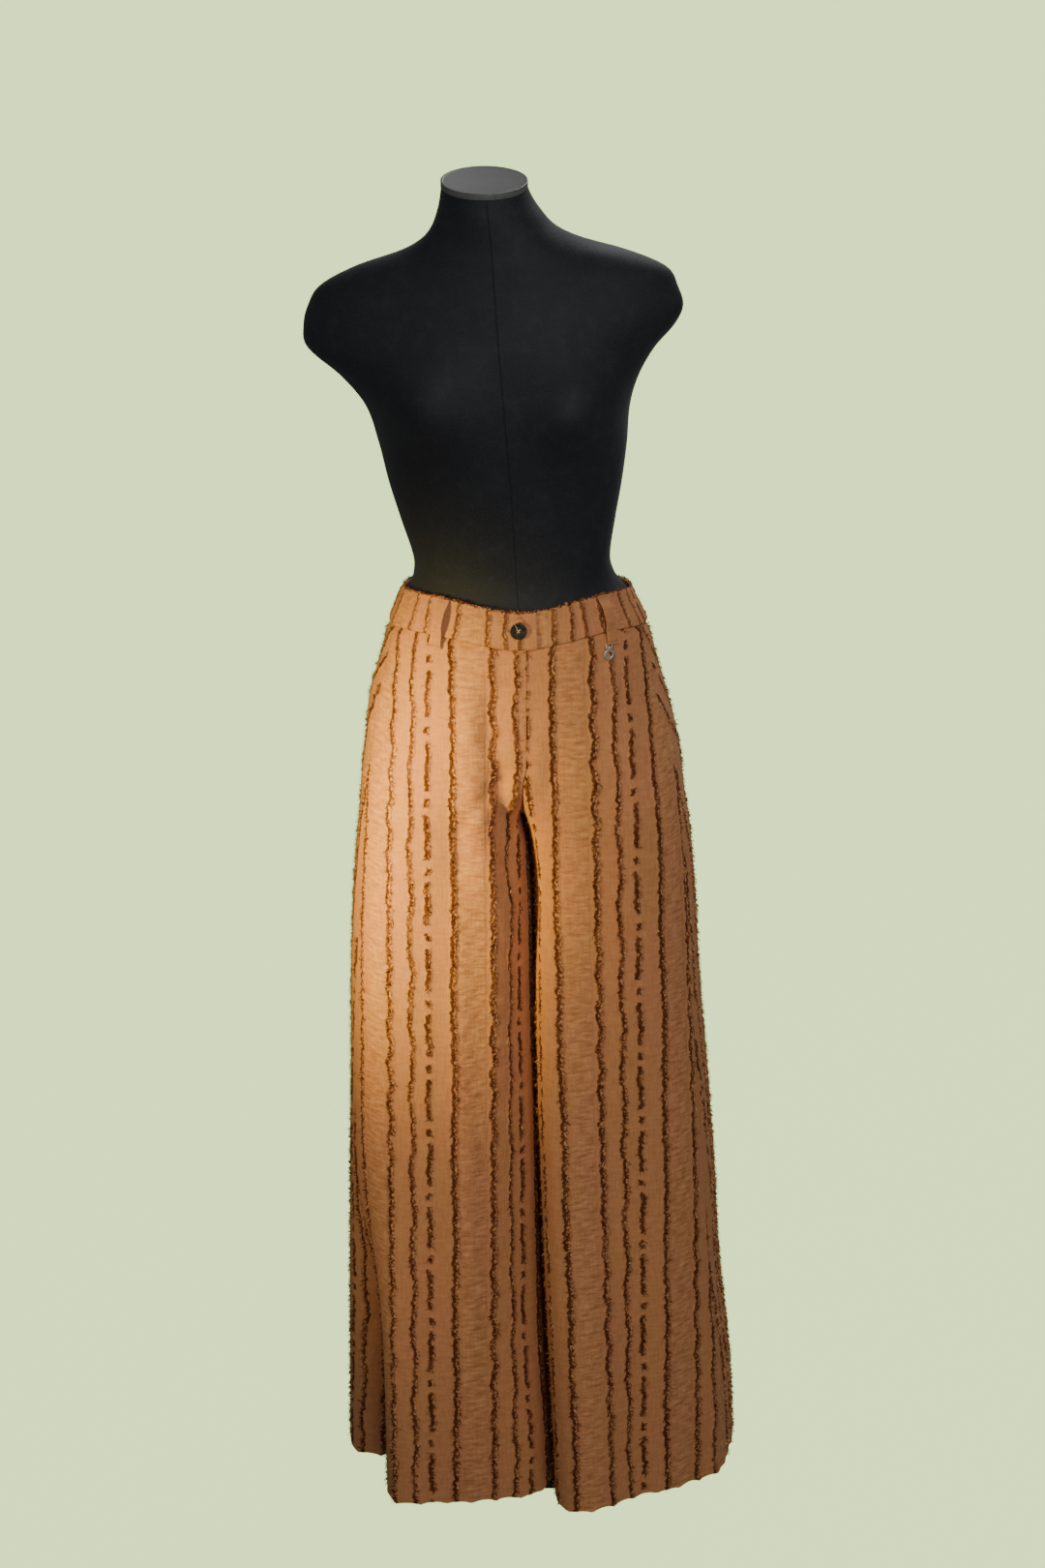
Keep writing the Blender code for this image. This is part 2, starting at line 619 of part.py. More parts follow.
# Waistband: two halves joined at the centre back, the wearer's right one lapping over the left.
for leg in ("right", "left"):
    sign = -1.0 if leg == "right" else 1.0

    def back_end(height, leg=leg, sign=sign):
        return half_round(leg, BAND_MIDDLE) - sign * SEAM / 2.0

    def front_end(height, leg=leg):
        return BAND_LAP if leg == "right" else BAND_UNDERLAP

    def band_low(u, leg=leg):
        return BAND_SEAM_FRONT + band_rise(leg, u)

    def band_high(u, leg=leg):
        return BAND_SEAM_FRONT + BAND_HEIGHT + band_rise(leg, u)

    def band_lift(u, z, leg=leg):
        if leg == "right":
            across = (u - BAND_RAMP[0]) / (BAND_RAMP[1] - BAND_RAMP[0])
            return BAND_PROUD + (BAND_WALL + SEAM) * ease(across)
        return BAND_PROUD

    low, high = (back_end, front_end) if leg == "right" else (front_end, back_end)
    sheet("waistband_" + leg, band_surface(leg), low, high, band_low, band_high,
          [BAND_MIDDLE - 0.007, BAND_MIDDLE + 0.007], BAND_COLUMNS, BAND_COLUMNS, band_lift,
          BAND_WALL, 0.0, 0.002)

CENTRE_BACK_U = half_round("right", BAND_MIDDLE)

# Belt loops: narrow strips from the top of the band to below its seam, bowed off the band.
for name, leg, loop_u in (("belt_loop_front_right", "right", -0.0935),
                          ("belt_loop_front_left", "left", CHARM_RUN),
                          ("belt_loop_side_right", "right", -0.2350),
                          ("belt_loop_side_left", "left", 0.2350),
                          ("belt_loop_centre_back", "right", CENTRE_BACK_U)):
    base = BAND_SEAM_FRONT + band_rise(leg, loop_u)

    def loop_low_edge(height, loop_u=loop_u):
        return loop_u - LOOP_HALF

    def loop_high_edge(height, loop_u=loop_u):
        return loop_u + LOOP_HALF

    def loop_bottom(u, base=base):
        return base - LOOP_BELOW

    def loop_top(u, base=base):
        return base + BAND_HEIGHT - 0.0010

    def loop_lift(u, z, base=base):
        part = (z - base + LOOP_BELOW) / (BAND_HEIGHT - 0.0010 + LOOP_BELOW)
        bow = LOOP_BOW * math.sin(math.pi * min(max(part, 0.0), 1.0))
        return BAND_PROUD + SEAM + LOOP_WALL + bow

    loop_rows = [base + step for step in (-0.0040, 0.0050, 0.0140, 0.0220, 0.0310)]
    loop_columns = [loop_u - 0.0030, loop_u + 0.0030]
    sheet(name, band_surface(leg), loop_low_edge, loop_high_edge, loop_bottom, loop_top,
          loop_rows, loop_columns, loop_columns, loop_lift, LOOP_WALL, 0.0, 0.001)


def spin(name, profile, count, slot):
    """A closed body turned about Z from (radius, height) rows that start and end on the axis."""
    vertices = [(0.0, 0.0, profile[0][1])]
    for radius, height in profile[1:-1]:
        for k in range(count):
            angle = 2.0 * math.pi * k / count
            vertices.append((radius * math.cos(angle), radius * math.sin(angle), height))
    vertices.append((0.0, 0.0, profile[-1][1]))
    faces = [(0, 1 + (k + 1) % count, 1 + k) for k in range(count)]
    for row in range(len(profile) - 3):
        start = 1 + row * count
        for k in range(count):
            after = (k + 1) % count
            faces.append((start + k, start + after, start + count + after, start + count + k))
    start = 1 + (len(profile) - 3) * count
    last = len(vertices) - 1
    faces += [(start + k, start + (k + 1) % count, last) for k in range(count)]
    return add_object(name, vertices, faces, slot)


def place(thing, spot, forward):
    """Turns a body made about Z so that Z points along forward, X level, and moves it."""
    level = Vector((0.0, 0.0, 1.0)).cross(forward).normalized()
    up = forward.cross(level)
    frame = Matrix((level, up, forward)).transposed().to_4x4()
    frame.translation = spot
    thing.data.transform(frame)


# Button: turned disc with a raised rim and four thread holes, on the lapped end of the band.
button = spin("button", [
    (0.0, 0.0), (BUTTON_RADIUS - 0.0010, 0.0), (BUTTON_RADIUS, 0.0009),
    (BUTTON_RADIUS, 0.0024), (BUTTON_RADIUS - 0.0007, BUTTON_THICK),
    (BUTTON_RADIUS - 0.0019, BUTTON_THICK), (BUTTON_RADIUS - 0.0028, 0.0025),
    (0.0030, 0.0023), (0.0, 0.0023)], 32, HORN)
for k in range(4):
    angle = math.pi / 4.0 + k * math.pi / 2.0
    drill = spin("drill", [(0.0, -0.001), (BUTTON_HOLE, -0.001), (BUTTON_HOLE, 0.004),
                           (0.0, 0.004)], 8, HORN)
    drill.data.transform(Matrix.Translation((BUTTON_HOLES_OUT * math.cos(angle),
                                             BUTTON_HOLES_OUT * math.sin(angle), 0.0)))
    cut = button.modifiers.new("hole", "BOOLEAN")
    cut.operation = "DIFFERENCE"
    cut.solver = "EXACT"
    cut.object = drill
    bpy.context.view_layer.update()
    solid = bpy.data.meshes.new_from_object(
        button.evaluated_get(bpy.context.evaluated_depsgraph_get()))
    button.modifiers.clear()
    button.data = solid
    bpy.data.objects.remove(drill, do_unlink=True)
button.data.name = "button"
button_out = outward("right", "front", BUTTON_X, BUTTON_HEIGHT)
button_spot = on_ring("right", "front", BUTTON_X, BUTTON_HEIGHT)
button_lift = BAND_PROUD + BAND_WALL + SEAM + SEAM
place(button, button_spot + button_out * button_lift, button_out)

# Charm: a plain ring that swings on a small bar at the foot of the wearer's left front loop.
charm_z = BAND_SEAM_FRONT + band_rise("left", CHARM_RUN) - LOOP_BELOW - CHARM_DROP
charm_out = outward("left", "front", CHARM_RUN, charm_z)
charm_out = Vector((charm_out.x, charm_out.y, 0.0)).normalized()
charm_bar_spot = on_ring("left", "front", CHARM_RUN, charm_z) + charm_out * CHARM_STAND_OFF


def tube(name, radius, inner, length, count, slot):
    """A plain tube, or a rod when inner is 0, with its length along Z and centred."""
    if inner == 0.0:
        return spin(name, [(0.0, -length / 2.0), (radius, -length / 2.0),
                           (radius, length / 2.0), (0.0, length / 2.0)], count, slot)
    vertices = []
    for r, z in ((radius, -0.5), (radius, 0.5), (inner, 0.5), (inner, -0.5)):
        for k in range(count):
            angle = 2.0 * math.pi * k / count
            vertices.append((r * math.cos(angle), r * math.sin(angle), z * length))
    faces = []
    for row in range(4):
        start = row * count
        after = (row + 1) % 4 * count
        for k in range(count):
            n = (k + 1) % count
            faces.append((start + k, start + n, after + n, after + k))
    return add_object(name, vertices, faces, slot)


def join(first, others):
    """Unites overlapping bodies into the first one."""
    for other in others:
        add = first.modifiers.new("add", "BOOLEAN")
        add.operation = "UNION"
        add.solver = "EXACT"
        add.object = other
        bpy.context.view_layer.update()
        solid = bpy.data.meshes.new_from_object(
            first.evaluated_get(bpy.context.evaluated_depsgraph_get()))
        first.modifiers.clear()
        first.data = solid
        bpy.data.objects.remove(other, do_unlink=True)
    first.data.name = first.name


charm = tube("ring_charm", CHARM_RADIUS, CHARM_HOLE, CHARM_THICK, 40, SILVER)
charm.data.transform(Matrix.Translation((0.0, CHARM_SINK - CHARM_RADIUS - CHARM_EYE, 0.0)))
eye = tube("eye", CHARM_EYE, CHARM_EYE_HOLE, CHARM_EYE_LENGTH, 20, SILVER)
eye.data.transform(Matrix.Rotation(math.pi / 2.0, 4, "Y"))
join(charm, [eye])
place(charm, charm_bar_spot, charm_out)

bar = tube("charm_bar", CHARM_BAR, 0.0, CHARM_BAR_LENGTH, 12, SILVER)
bar.data.transform(Matrix.Rotation(math.pi / 2.0, 4, "Y"))
posts = []
for side in (-1.0, 1.0):
    post = tube("post", CHARM_POST, 0.0, CHARM_POST_LENGTH, 8, SILVER)
    post.data.transform(Matrix.Rotation(math.pi / 2.0, 4, "X"))
    post.data.transform(Matrix.Translation((side * CHARM_POST_X, CHARM_POST_LENGTH / 2.0, 0.0)))
    posts.append(post)
join(bar, posts)
place(bar, charm_bar_spot, charm_out)

# Dress form: one whole body of rounded sections with soft bust curves and a tilted neck top.
heights = [row.height for row in TORSO]
levels = []
for low, high in zip(heights, heights[1:]):
    parts = 2 if high - low > 0.018 else 1
    levels += [low + (high - low) * k / parts for k in range(parts)]
levels.append(heights[-1])
vertices = []
for level in levels:
    row = between(TORSO, level)
    tilt = math.tan(NECK_TILT) * ease((level - NECK_FOOT) / (heights[-1] - NECK_FOOT))
    for k in range(AROUND):
        angle = 2.0 * math.pi * k / AROUND
        face = row.front if math.sin(angle) < 0 else row.back
        power = 2.0 / row.square
        x = row.half_width * math.copysign(abs(math.cos(angle)) ** power, math.cos(angle))
        y = face * math.copysign(abs(math.sin(angle)) ** power, math.sin(angle))
        if y < 0.0:
            for bust in BUST_XS:
                far = ((x + row.centre_x - bust) / BUST_SPREAD) ** 2
                far += ((level - BUST_HEIGHT) / (BUST_SPREAD * 1.05)) ** 2
                y -= BUST_RISE * math.exp(-far) * min(1.0, -y / 0.05)
        spot = Vector((row.centre_x + x, y, level + tilt * y))
        own = ease((level - HIP_MERGE) / (WAIST_MERGE - HIP_MERGE))
        if own < 1.0:
            side = "left" if math.cos(angle) >= 0.0 else "right"
            heading = math.degrees(math.atan2(-math.sin(angle), abs(math.cos(angle))))
            run = u_at_heading(side, "front", level, heading)
            clear = HIP_CLEAR + (BAND_CLEAR - HIP_CLEAR) * ease((level - BAND_FOOT) / 0.014)
            inside = on_ring(side, "front", run, level)
            inside -= outward(side, "front", run, level) * clear
            inside.z = level
            spot = inside + (spot - inside) * own
        vertices.append(spot)
faces = []
for level in range(len(levels) - 1):
    start = level * AROUND
    for k in range(AROUND):
        after = (k + 1) % AROUND
        faces.append((start + k, start + after, start + AROUND + after, start + AROUND + k))
faces.append(tuple(reversed(range(AROUND))))
faces.append(tuple(range((len(levels) - 1) * AROUND, len(levels) * AROUND)))
add_object("dress_form", vertices, faces, JERSEY)

# Neck cap: a flat disc on the tilted neck top, a little rounded at its edge.
top = TORSO[-1]
vertices = []
cap_rows = [(1.0, SEAM), (1.010, SEAM + 0.0010), (1.010, NECK_CAP - 0.0010), (0.985, NECK_CAP)]
for scale, up in cap_rows:
    for k in range(AROUND):
        angle = 2.0 * math.pi * k / AROUND
        face = top.front if math.sin(angle) < 0 else top.back
        x = top.centre_x + scale * top.half_width * math.cos(angle)
        y = scale * face * math.sin(angle)
        vertices.append((x, y, top.height + y * math.tan(NECK_TILT) + up))
faces = []
for row in range(len(cap_rows) - 1):
    start = row * AROUND
    for k in range(AROUND):
        after = (k + 1) % AROUND
        faces.append((start + k, start + after, start + AROUND + after, start + AROUND + k))
faces.append(tuple(reversed(range(AROUND))))
faces.append(tuple(range((len(cap_rows) - 1) * AROUND, len(cap_rows) * AROUND)))
add_object("neck_cap", vertices, faces, CAP_GREY)

# Stand: a pole off the centre, so that it runs down inside one leg, and a flat base plate.
pole_low = BASE_THICK + SEAM
pole_high = TORSO[0].height - SEAM
pole = tube("stand_pole", POLE_RADIUS, 0.0, pole_high - pole_low, 32, STEEL)
pole.data.transform(Matrix.Translation((*POLE_XY, (pole_low + pole_high) / 2.0)))

outline = []
for sx, sy, first in ((1, 1, 0), (-1, 1, 90), (-1, -1, 180), (1, -1, 270)):
    for k in range(9):
        angle = math.radians(first + 90.0 * k / 8.0)
        outline.append((BASE_CENTRE[0] + sx * (BASE_SIZE[0] / 2.0 - BASE_CORNER)
                        + BASE_CORNER * math.cos(angle),
                        BASE_CENTRE[1] + sy * (BASE_SIZE[1] / 2.0 - BASE_CORNER)
                        + BASE_CORNER * math.sin(angle)))
count = len(outline)
vertices = [(x, y, 0.0) for x, y in outline] + [(x, y, BASE_THICK) for x, y in outline]
faces = [tuple(reversed(range(count))), tuple(range(count, 2 * count))]
faces += [(k, (k + 1) % count, count + (k + 1) % count, count + k) for k in range(count)]
add_object("base_plate", vertices, faces, STEEL)
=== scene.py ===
"""Looks of the clipped-stripe wide-leg trousers and the dress form that wears them.

Metres, +Z up, the front faces -Y, the wearer's right is -X.
"""

import json
import math
from collections import namedtuple

import bmesh
import bpy
import numpy as np
from mathutils import Matrix, Vector


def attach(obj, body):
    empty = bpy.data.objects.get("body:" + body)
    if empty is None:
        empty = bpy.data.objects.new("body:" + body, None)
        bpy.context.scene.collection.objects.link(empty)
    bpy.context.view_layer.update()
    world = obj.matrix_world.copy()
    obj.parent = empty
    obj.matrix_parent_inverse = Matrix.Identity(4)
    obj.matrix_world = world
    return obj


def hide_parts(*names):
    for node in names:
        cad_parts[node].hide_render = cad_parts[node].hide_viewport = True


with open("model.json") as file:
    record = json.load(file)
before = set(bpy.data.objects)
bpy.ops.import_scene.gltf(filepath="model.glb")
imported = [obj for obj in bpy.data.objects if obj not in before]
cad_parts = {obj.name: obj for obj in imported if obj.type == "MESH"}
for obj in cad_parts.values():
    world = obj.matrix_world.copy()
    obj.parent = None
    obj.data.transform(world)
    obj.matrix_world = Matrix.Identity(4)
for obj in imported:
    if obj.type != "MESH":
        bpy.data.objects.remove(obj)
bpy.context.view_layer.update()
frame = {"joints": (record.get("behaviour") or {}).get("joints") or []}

# Camera
# It stands in front of the form, a little above its neck, and looks down on the garment through
# a long lens.
TURN = 2.0 * math.pi
CAMERA_HEIGHT = 2.03
CAMERA_DISTANCE = 3.50
CAMERA_PITCH = math.radians(18.8)
CAMERA_LENS_MM = 76.6
CAMERA_SENSOR_MM = 36.0

bpy.ops.object.select_all(action="DESELECT")
bpy.ops.object.camera_add(location=(0.0, -CAMERA_DISTANCE, CAMERA_HEIGHT),
                          rotation=(TURN / 4.0 - CAMERA_PITCH, 0.0, 0.0))
camera = bpy.context.object
camera.name = "camera"
camera.data.lens = CAMERA_LENS_MM
camera.data.sensor_width = CAMERA_SENSOR_MM
bpy.context.scene.camera = camera

# Striped cloth
# A caramel cotton blend whose floating threads are clipped along lengthwise lines, so that each
# line is a dark ragged ridge: darker yarn with painted shadow of its recess. Between them lie
# plain strips and one wide crinkled strip, on whose crinkles highlight and shade are painted.
REPEAT = 0.1160
REPEAT_START = -0.0440
CARAMEL = (0.520, 0.224, 0.090)
CARAMEL_PALE = (0.760, 0.370, 0.160)
CARAMEL_ROSE = (0.540, 0.216, 0.100)
CARAMEL_DEEP = (0.330, 0.118, 0.040)
# Dark of the clipped lines: the darker yarn plus painted shadow of the recess beside the fringe.
CLIPPED_DARK_AND_SHADOW = (0.066, 0.0128, 0.0014)
CLIPPED_MID = (0.175, 0.040, 0.0075)
DASH_PERIOD = 0.0760
DASH_STAGGER = 0.43
DASH_SHARE = 0.66
DOT_SHARES = (0.77, 0.88)
CRINKLE_STRIP = (0.0870, 0.1150)
RIDGE_ASIDE = 0.3
WANDER = 0.0062
WANDER_FINE = 0.0034

# One row a clipped stripe of the repeat: where its dark line lies, half that line's width, the
# width of the speckled fringe beside it, how proud it stands, how far it swings and over what
# height, and how much of it is worn away.
Line = namedtuple("Line", "name offset half_width fringe proud swing wave patchy")
LINES = [
    Line("zigzag", 0.0065, 0.0018, 0.0048, 0.0013, 0.0013, 0.0470, 0.20),
    Line("wavy", 0.0318, 0.0015, 0.0036, 0.0010, 0.0017, 0.0930, 0.30),
    Line("dashes", 0.0510, 0.0021, 0.0030, 0.0011, 0.0007, 0.1100, 0.15),
    Line("straight", 0.0785, 0.0018, 0.0046, 0.0011, 0.0008, 0.1900, 0.10),
]


def line_path(line, z, k, sine):
    """How far a line of the k-th repeat swings sideways at a height."""
    phase = line.offset * 300.0
    return (sine(z * (TURN / line.wave) + (k * 2.1 + phase)) * line.swing
            + sine(z * (TURN / 0.0173) + (k * 2.9 + phase)) * 0.0006
            + sine(z * (TURN / 0.0097) + (k * 4.1 + phase)) * 0.0004
            + sine(z * (TURN / 0.0413) + (k * 1.7 - phase)) * 0.0007)


class Number:
    """A number in a finish. An expression on it adds its Math nodes."""

    def __init__(self, socket):
        self.socket = socket
        self.tree = socket.id_data

    def math(self, operation, *others):
        node = self.tree.nodes.new("ShaderNodeMath")
        node.operation = operation
        for place, value in enumerate((self, *others)):
            if isinstance(value, Number):
                self.tree.links.new(value.socket, node.inputs[place])
            else:
                node.inputs[place].default_value = value
        return Number(node.outputs[0])

    def __add__(self, other):
        return self.math("ADD", other)

    def __sub__(self, other):
        return self.math("SUBTRACT", other)

    def __rsub__(self, other):
        return self.math("MULTIPLY_ADD", -1.0, other)

    def __mul__(self, other):
        return self.math("MULTIPLY", other)

    def __abs__(self):
        return self.math("ABSOLUTE")

    __radd__ = __add__
    __rmul__ = __mul__

    def sine(self):
        return self.math("SINE")

    def fraction(self):
        return self.math("FRACT")

    def floor(self):
        return self.math("FLOOR")

    def most(self, other):
        return self.math("MAXIMUM", other)


class Finish:
    """One named finish round a Principled shader. Every other node comes from node()."""

    def __init__(self, name, roughness, metallic=0.0, **sockets):
        self.material = bpy.data.materials.new(name)
        self.material.use_nodes = True
        self.tree = self.material.node_tree
        self.shader = self.tree.nodes["Principled BSDF"]
        self.shader.inputs["Roughness"].default_value = roughness
        self.shader.inputs["Metallic"].default_value = metallic
        for socket, value in sockets.items():
            self.shader.inputs[socket.replace("_", " ")].default_value = value

    def node(self, kind, settings=None, inputs=None, output=0):
        made = self.tree.nodes.new("ShaderNode" + kind)
        for name, value in (settings or {}).items():
            if name == "stops":
                ramp = made.color_ramp.elements
                while len(ramp) < len(value):
                    ramp.new(0.5)
                for stop, (place, colour) in zip(ramp, value):
                    stop.position = place
                    stop.color = (*colour, 1.0)
            else:
                setattr(made, name, value)
        for name, value in (inputs or {}).items():
            self.feed(made.inputs[name], value)
        return made.outputs[output]

    def feed(self, socket, value):
        value = getattr(value, "socket", value)
        if isinstance(value, bpy.types.NodeSocket):
            self.tree.links.new(value, socket)
        elif isinstance(value, tuple) and len(value) == 3 and socket.type == "RGBA":
            socket.default_value = (*value, 1.0)
        else:
            socket.default_value = value

    def fade(self, value, start, end, low=0.0, high=1.0):
        """Smooth step from low to high as a number goes from start to end."""
        return Number(self.node("MapRange", {"interpolation_type": "SMOOTHSTEP"}, {
            "Value": value, "From Min": start, "From Max": end, "To Min": low, "To Max": high}))

    def mix(self, share, one, other):
        return self.node("Mix", {"data_type": "RGBA"}, {0: share, 6: one, 7: other}, 2)

    def own_place(self):
        """Place in the piece's own coordinates, in metres."""
        return self.node("TexCoord", output=3)

    def cloth_place(self, axis):
        """One of the two coordinates of a piece's place on its cloth, in metres."""
        place = self.node("UVMap", {"uv_map": "cloth"})
        return Number(self.node("SeparateXYZ", {}, {0: place}, axis))

    def noise(self, place, *grain, detail=2.0, roughness=0.5):
        """Noise with its own number of grains a metre along each axis, or one number for all."""
        grain = grain if len(grain) == 3 else grain * 3
        place = self.node("VectorMath", {"operation": "MULTIPLY"}, {0: place, 1: grain})
        return Number(self.node("TexNoise", {}, {
            "Vector": place, "Scale": 1.0, "Detail": detail, "Roughness": roughness}))

    def bump(self, height, distance, strength, under=None):
        inputs = {"Height": height, "Distance": distance, "Strength": strength}
        if under is not None:
            inputs["Normal"] = under
        return self.node("Bump", {}, inputs)

    def surface(self, **varied):
        """Feeds what varies over the surface to the shader and hands over the material."""
        for socket, value in varied.items():
            self.feed(self.shader.inputs[socket.replace("_", " ")], value)
        return self.material


def striped_cloth(name, strength):
    """The striped cloth, laid by the piece's own run and height in metres."""
    finish = Finish(name, 0.86, Sheen_Weight=0.10, Sheen_Roughness=0.45,
                    Sheen_Tint=(0.90, 0.66, 0.46, 1.0), Specular_IOR_Level=0.15)
    place = finish.node("UVMap", {"uv_map": "cloth"})
    u = finish.cloth_place(0)
    z = finish.cloth_place(1)
    count = (u - REPEAT_START) * (1.0 / REPEAT)
    k = count.floor()
    across = (count - k) * REPEAT
    ragged = finish.noise(place, 240.0, 210.0, 0.0, detail=3.0, roughness=0.65)
    tufts = finish.noise(place, 520.0, 330.0, 0.0, detail=3.0, roughness=0.65)
    patches = finish.noise(place, 16.0, 34.0, 0.0)
    wander = (ragged - 0.5) * WANDER + (tufts - 0.5) * WANDER_FINE
    dash = (z * (1.0 / DASH_PERIOD) + k * DASH_STAGGER + (ragged - 0.5) * 0.16).fraction()
    dashed = (1.0 - finish.fade(dash, DASH_SHARE - 0.01, DASH_SHARE + 0.01)).most(
        finish.fade(dash, DOT_SHARES[0] - 0.01, DOT_SHARES[0] + 0.01)
        * (1.0 - finish.fade(dash, DOT_SHARES[1] - 0.01, DOT_SHARES[1] + 0.01)))
    dashed = dashed * finish.fade(dash, 0.0, 0.02)
    flecks = finish.noise(place, 360.0, 280.0, 0.0, roughness=0.6)
    dark = None
    ridge = None
    fuzz = None
    for line in LINES:
        centre = line_path(line, z, k, Number.sine) + line.offset
        aside = across + wander - centre
        edge = line.half_width + line.fringe
        crisp = 1.0 - finish.fade(abs(aside), line.half_width * 0.70, line.half_width * 1.25)
        frayed = (finish.fade(aside, 0.0, line.half_width)
                  * (1.0 - finish.fade(aside, edge * 0.45, edge)))
        rise = 1.0 - finish.fade(abs(aside - line.fringe * RIDGE_ASIDE), 0.0, edge)
        crisp = crisp * finish.fade(patches, 0.44, 0.62, 1.0, 1.0 - line.patchy)
        if line.name == "dashes":
            crisp = crisp * dashed
            frayed = frayed * dashed
            rise = rise * dashed
        dark = crisp if dark is None else dark.most(crisp)
        ridge = rise if ridge is None else ridge.most(rise)
        fuzz = frayed if fuzz is None else fuzz.most(frayed)
    in_crinkle = (finish.fade(across, CRINKLE_STRIP[0] - 0.003, CRINKLE_STRIP[0] + 0.003)
                  * (1.0 - finish.fade(across, CRINKLE_STRIP[1] - 0.002, CRINKLE_STRIP[1] + 0.003)))
    crinkle = finish.noise(place, 66.0, 235.0, 0.0, detail=2.5, roughness=0.6)
    ribs = finish.noise(place, 430.0, 55.0, 0.0)
    weave = finish.noise(place, 420.0, 1500.0, 0.0, roughness=0.55)
    cloudy = finish.noise(place, 22.0, 7.0, 0.0, detail=3.0)
    puckered = in_crinkle * 0.65 + 0.35
    colour = finish.mix(finish.fade(cloudy, 0.38, 0.62), CARAMEL, CARAMEL_ROSE)
    # On the crinkled strip the colour follows the crinkle bump: the paler crests are painted highlight
    # and the darker hollows are painted shade.
    colour = finish.mix(finish.fade(crinkle, 0.45, 0.72) * puckered * 0.60, colour, CARAMEL_PALE)
    colour = finish.mix(finish.fade(crinkle, 0.52, 0.28) * puckered * 0.68, colour, CARAMEL_DEEP)
    colour = finish.mix(finish.fade(ribs, 0.62, 0.32) * 0.28, colour, CARAMEL_DEEP)
    colour = finish.mix(finish.fade(weave, 0.40, 0.70) * 0.20, colour, CARAMEL_PALE)
    colour = finish.mix(fuzz * finish.fade(flecks, 0.54, 0.61) * 0.90, colour, CARAMEL_PALE)
    colour = finish.mix(fuzz * finish.fade(flecks, 0.54, 0.44) * strength, colour, CLIPPED_MID)
    # Dark clipped line: the darker yarn plus painted shadow in the recess beside its fringe.
    colour = finish.mix(dark * strength, colour, CLIPPED_DARK_AND_SHADOW)
    rough = finish.bump(crinkle * puckered + ribs * 0.25, 0.0018, 0.90)
    rough = finish.bump(weave, 0.0003, 0.55, rough)
    rough = finish.bump(ridge * 0.5 - dark * 0.7 + flecks * ridge * 0.8, 0.0014, 0.80, rough)
    return finish.surface(Base_Color=colour, Roughness=dark * 0.08 + 0.84, Normal=rough)


CLOTH = striped_cloth("striped_cloth", 0.92)


def clipped_threads(name):
    """The frayed ends of the clipped threads, from dark to pale by the tone of each thread."""
    finish = Finish(name, 0.80, Sheen_Weight=0.05, Specular_IOR_Level=0.1)
    tone = finish.node("Attribute", {"attribute_name": "tone"}, None, 2)
    colour = finish.node("ValToRGB", {"stops": [
        (0.0, CLIPPED_DARK_AND_SHADOW), (0.45, CLIPPED_MID), (0.75, CARAMEL), (1.0, CARAMEL_PALE)]},
        {"Fac": tone})
    grain = finish.noise(finish.own_place(), 2600.0)
    return finish.surface(Base_Color=colour, Normal=finish.bump(grain, 0.0002, 0.5))


THREADS = clipped_threads("clipped_threads")

# Trouser legs
# Two fronts and two backs with side, inside and centre seams, and a fly lapping at the front.
# Each is one sheet of the striped cloth, 1.6 mm thick, that flares to a wide hem in long folds.
STILL = "trousers_on_form"
SEAM = 0.0003
PANEL_WALL = 0.0016
HEM = 0.0200
HEM_SCALLOP = 0.0035
CROTCH = 0.830
CROTCH_BLEND = 0.0400
SEAM_FADE = 0.0220
BAND_SEAM_FRONT = 1.0230
WAIST_REFERENCE = 1.0300
FLY_END = 0.8740
FLY_RISE = 0.0170
FLY_GROW = 0.0220
FLY_RAMP = (-0.0240, -0.0095)
FLY_LAP = 0.0040
GRAIN_RUN = {"right": -0.0810, "left": 0.0780}
ROW_STEP = 0.0060
LEVEL_STEP = 0.0040
RUN_STEP = 0.0010
HEADING_STEP = 0.5
REPEATS = range(-6, 7)
FOLD_QUICK_END = 6.0
FOLD_SLOW_END = 1.6
FOLD_START = 5.0
CREASE_FADE = 0.0150
CREASE_WAVER = 0.15
CREASE_ENDS = 0.25
EDGE_ROLL = 0.0007
EDGE_ROLL_WIDTH = 0.0022
WAIST_SINK = 0.0018
WAIST_SINK_WIDTH = 0.0030
PUCKER_DEPTH = 0.00022

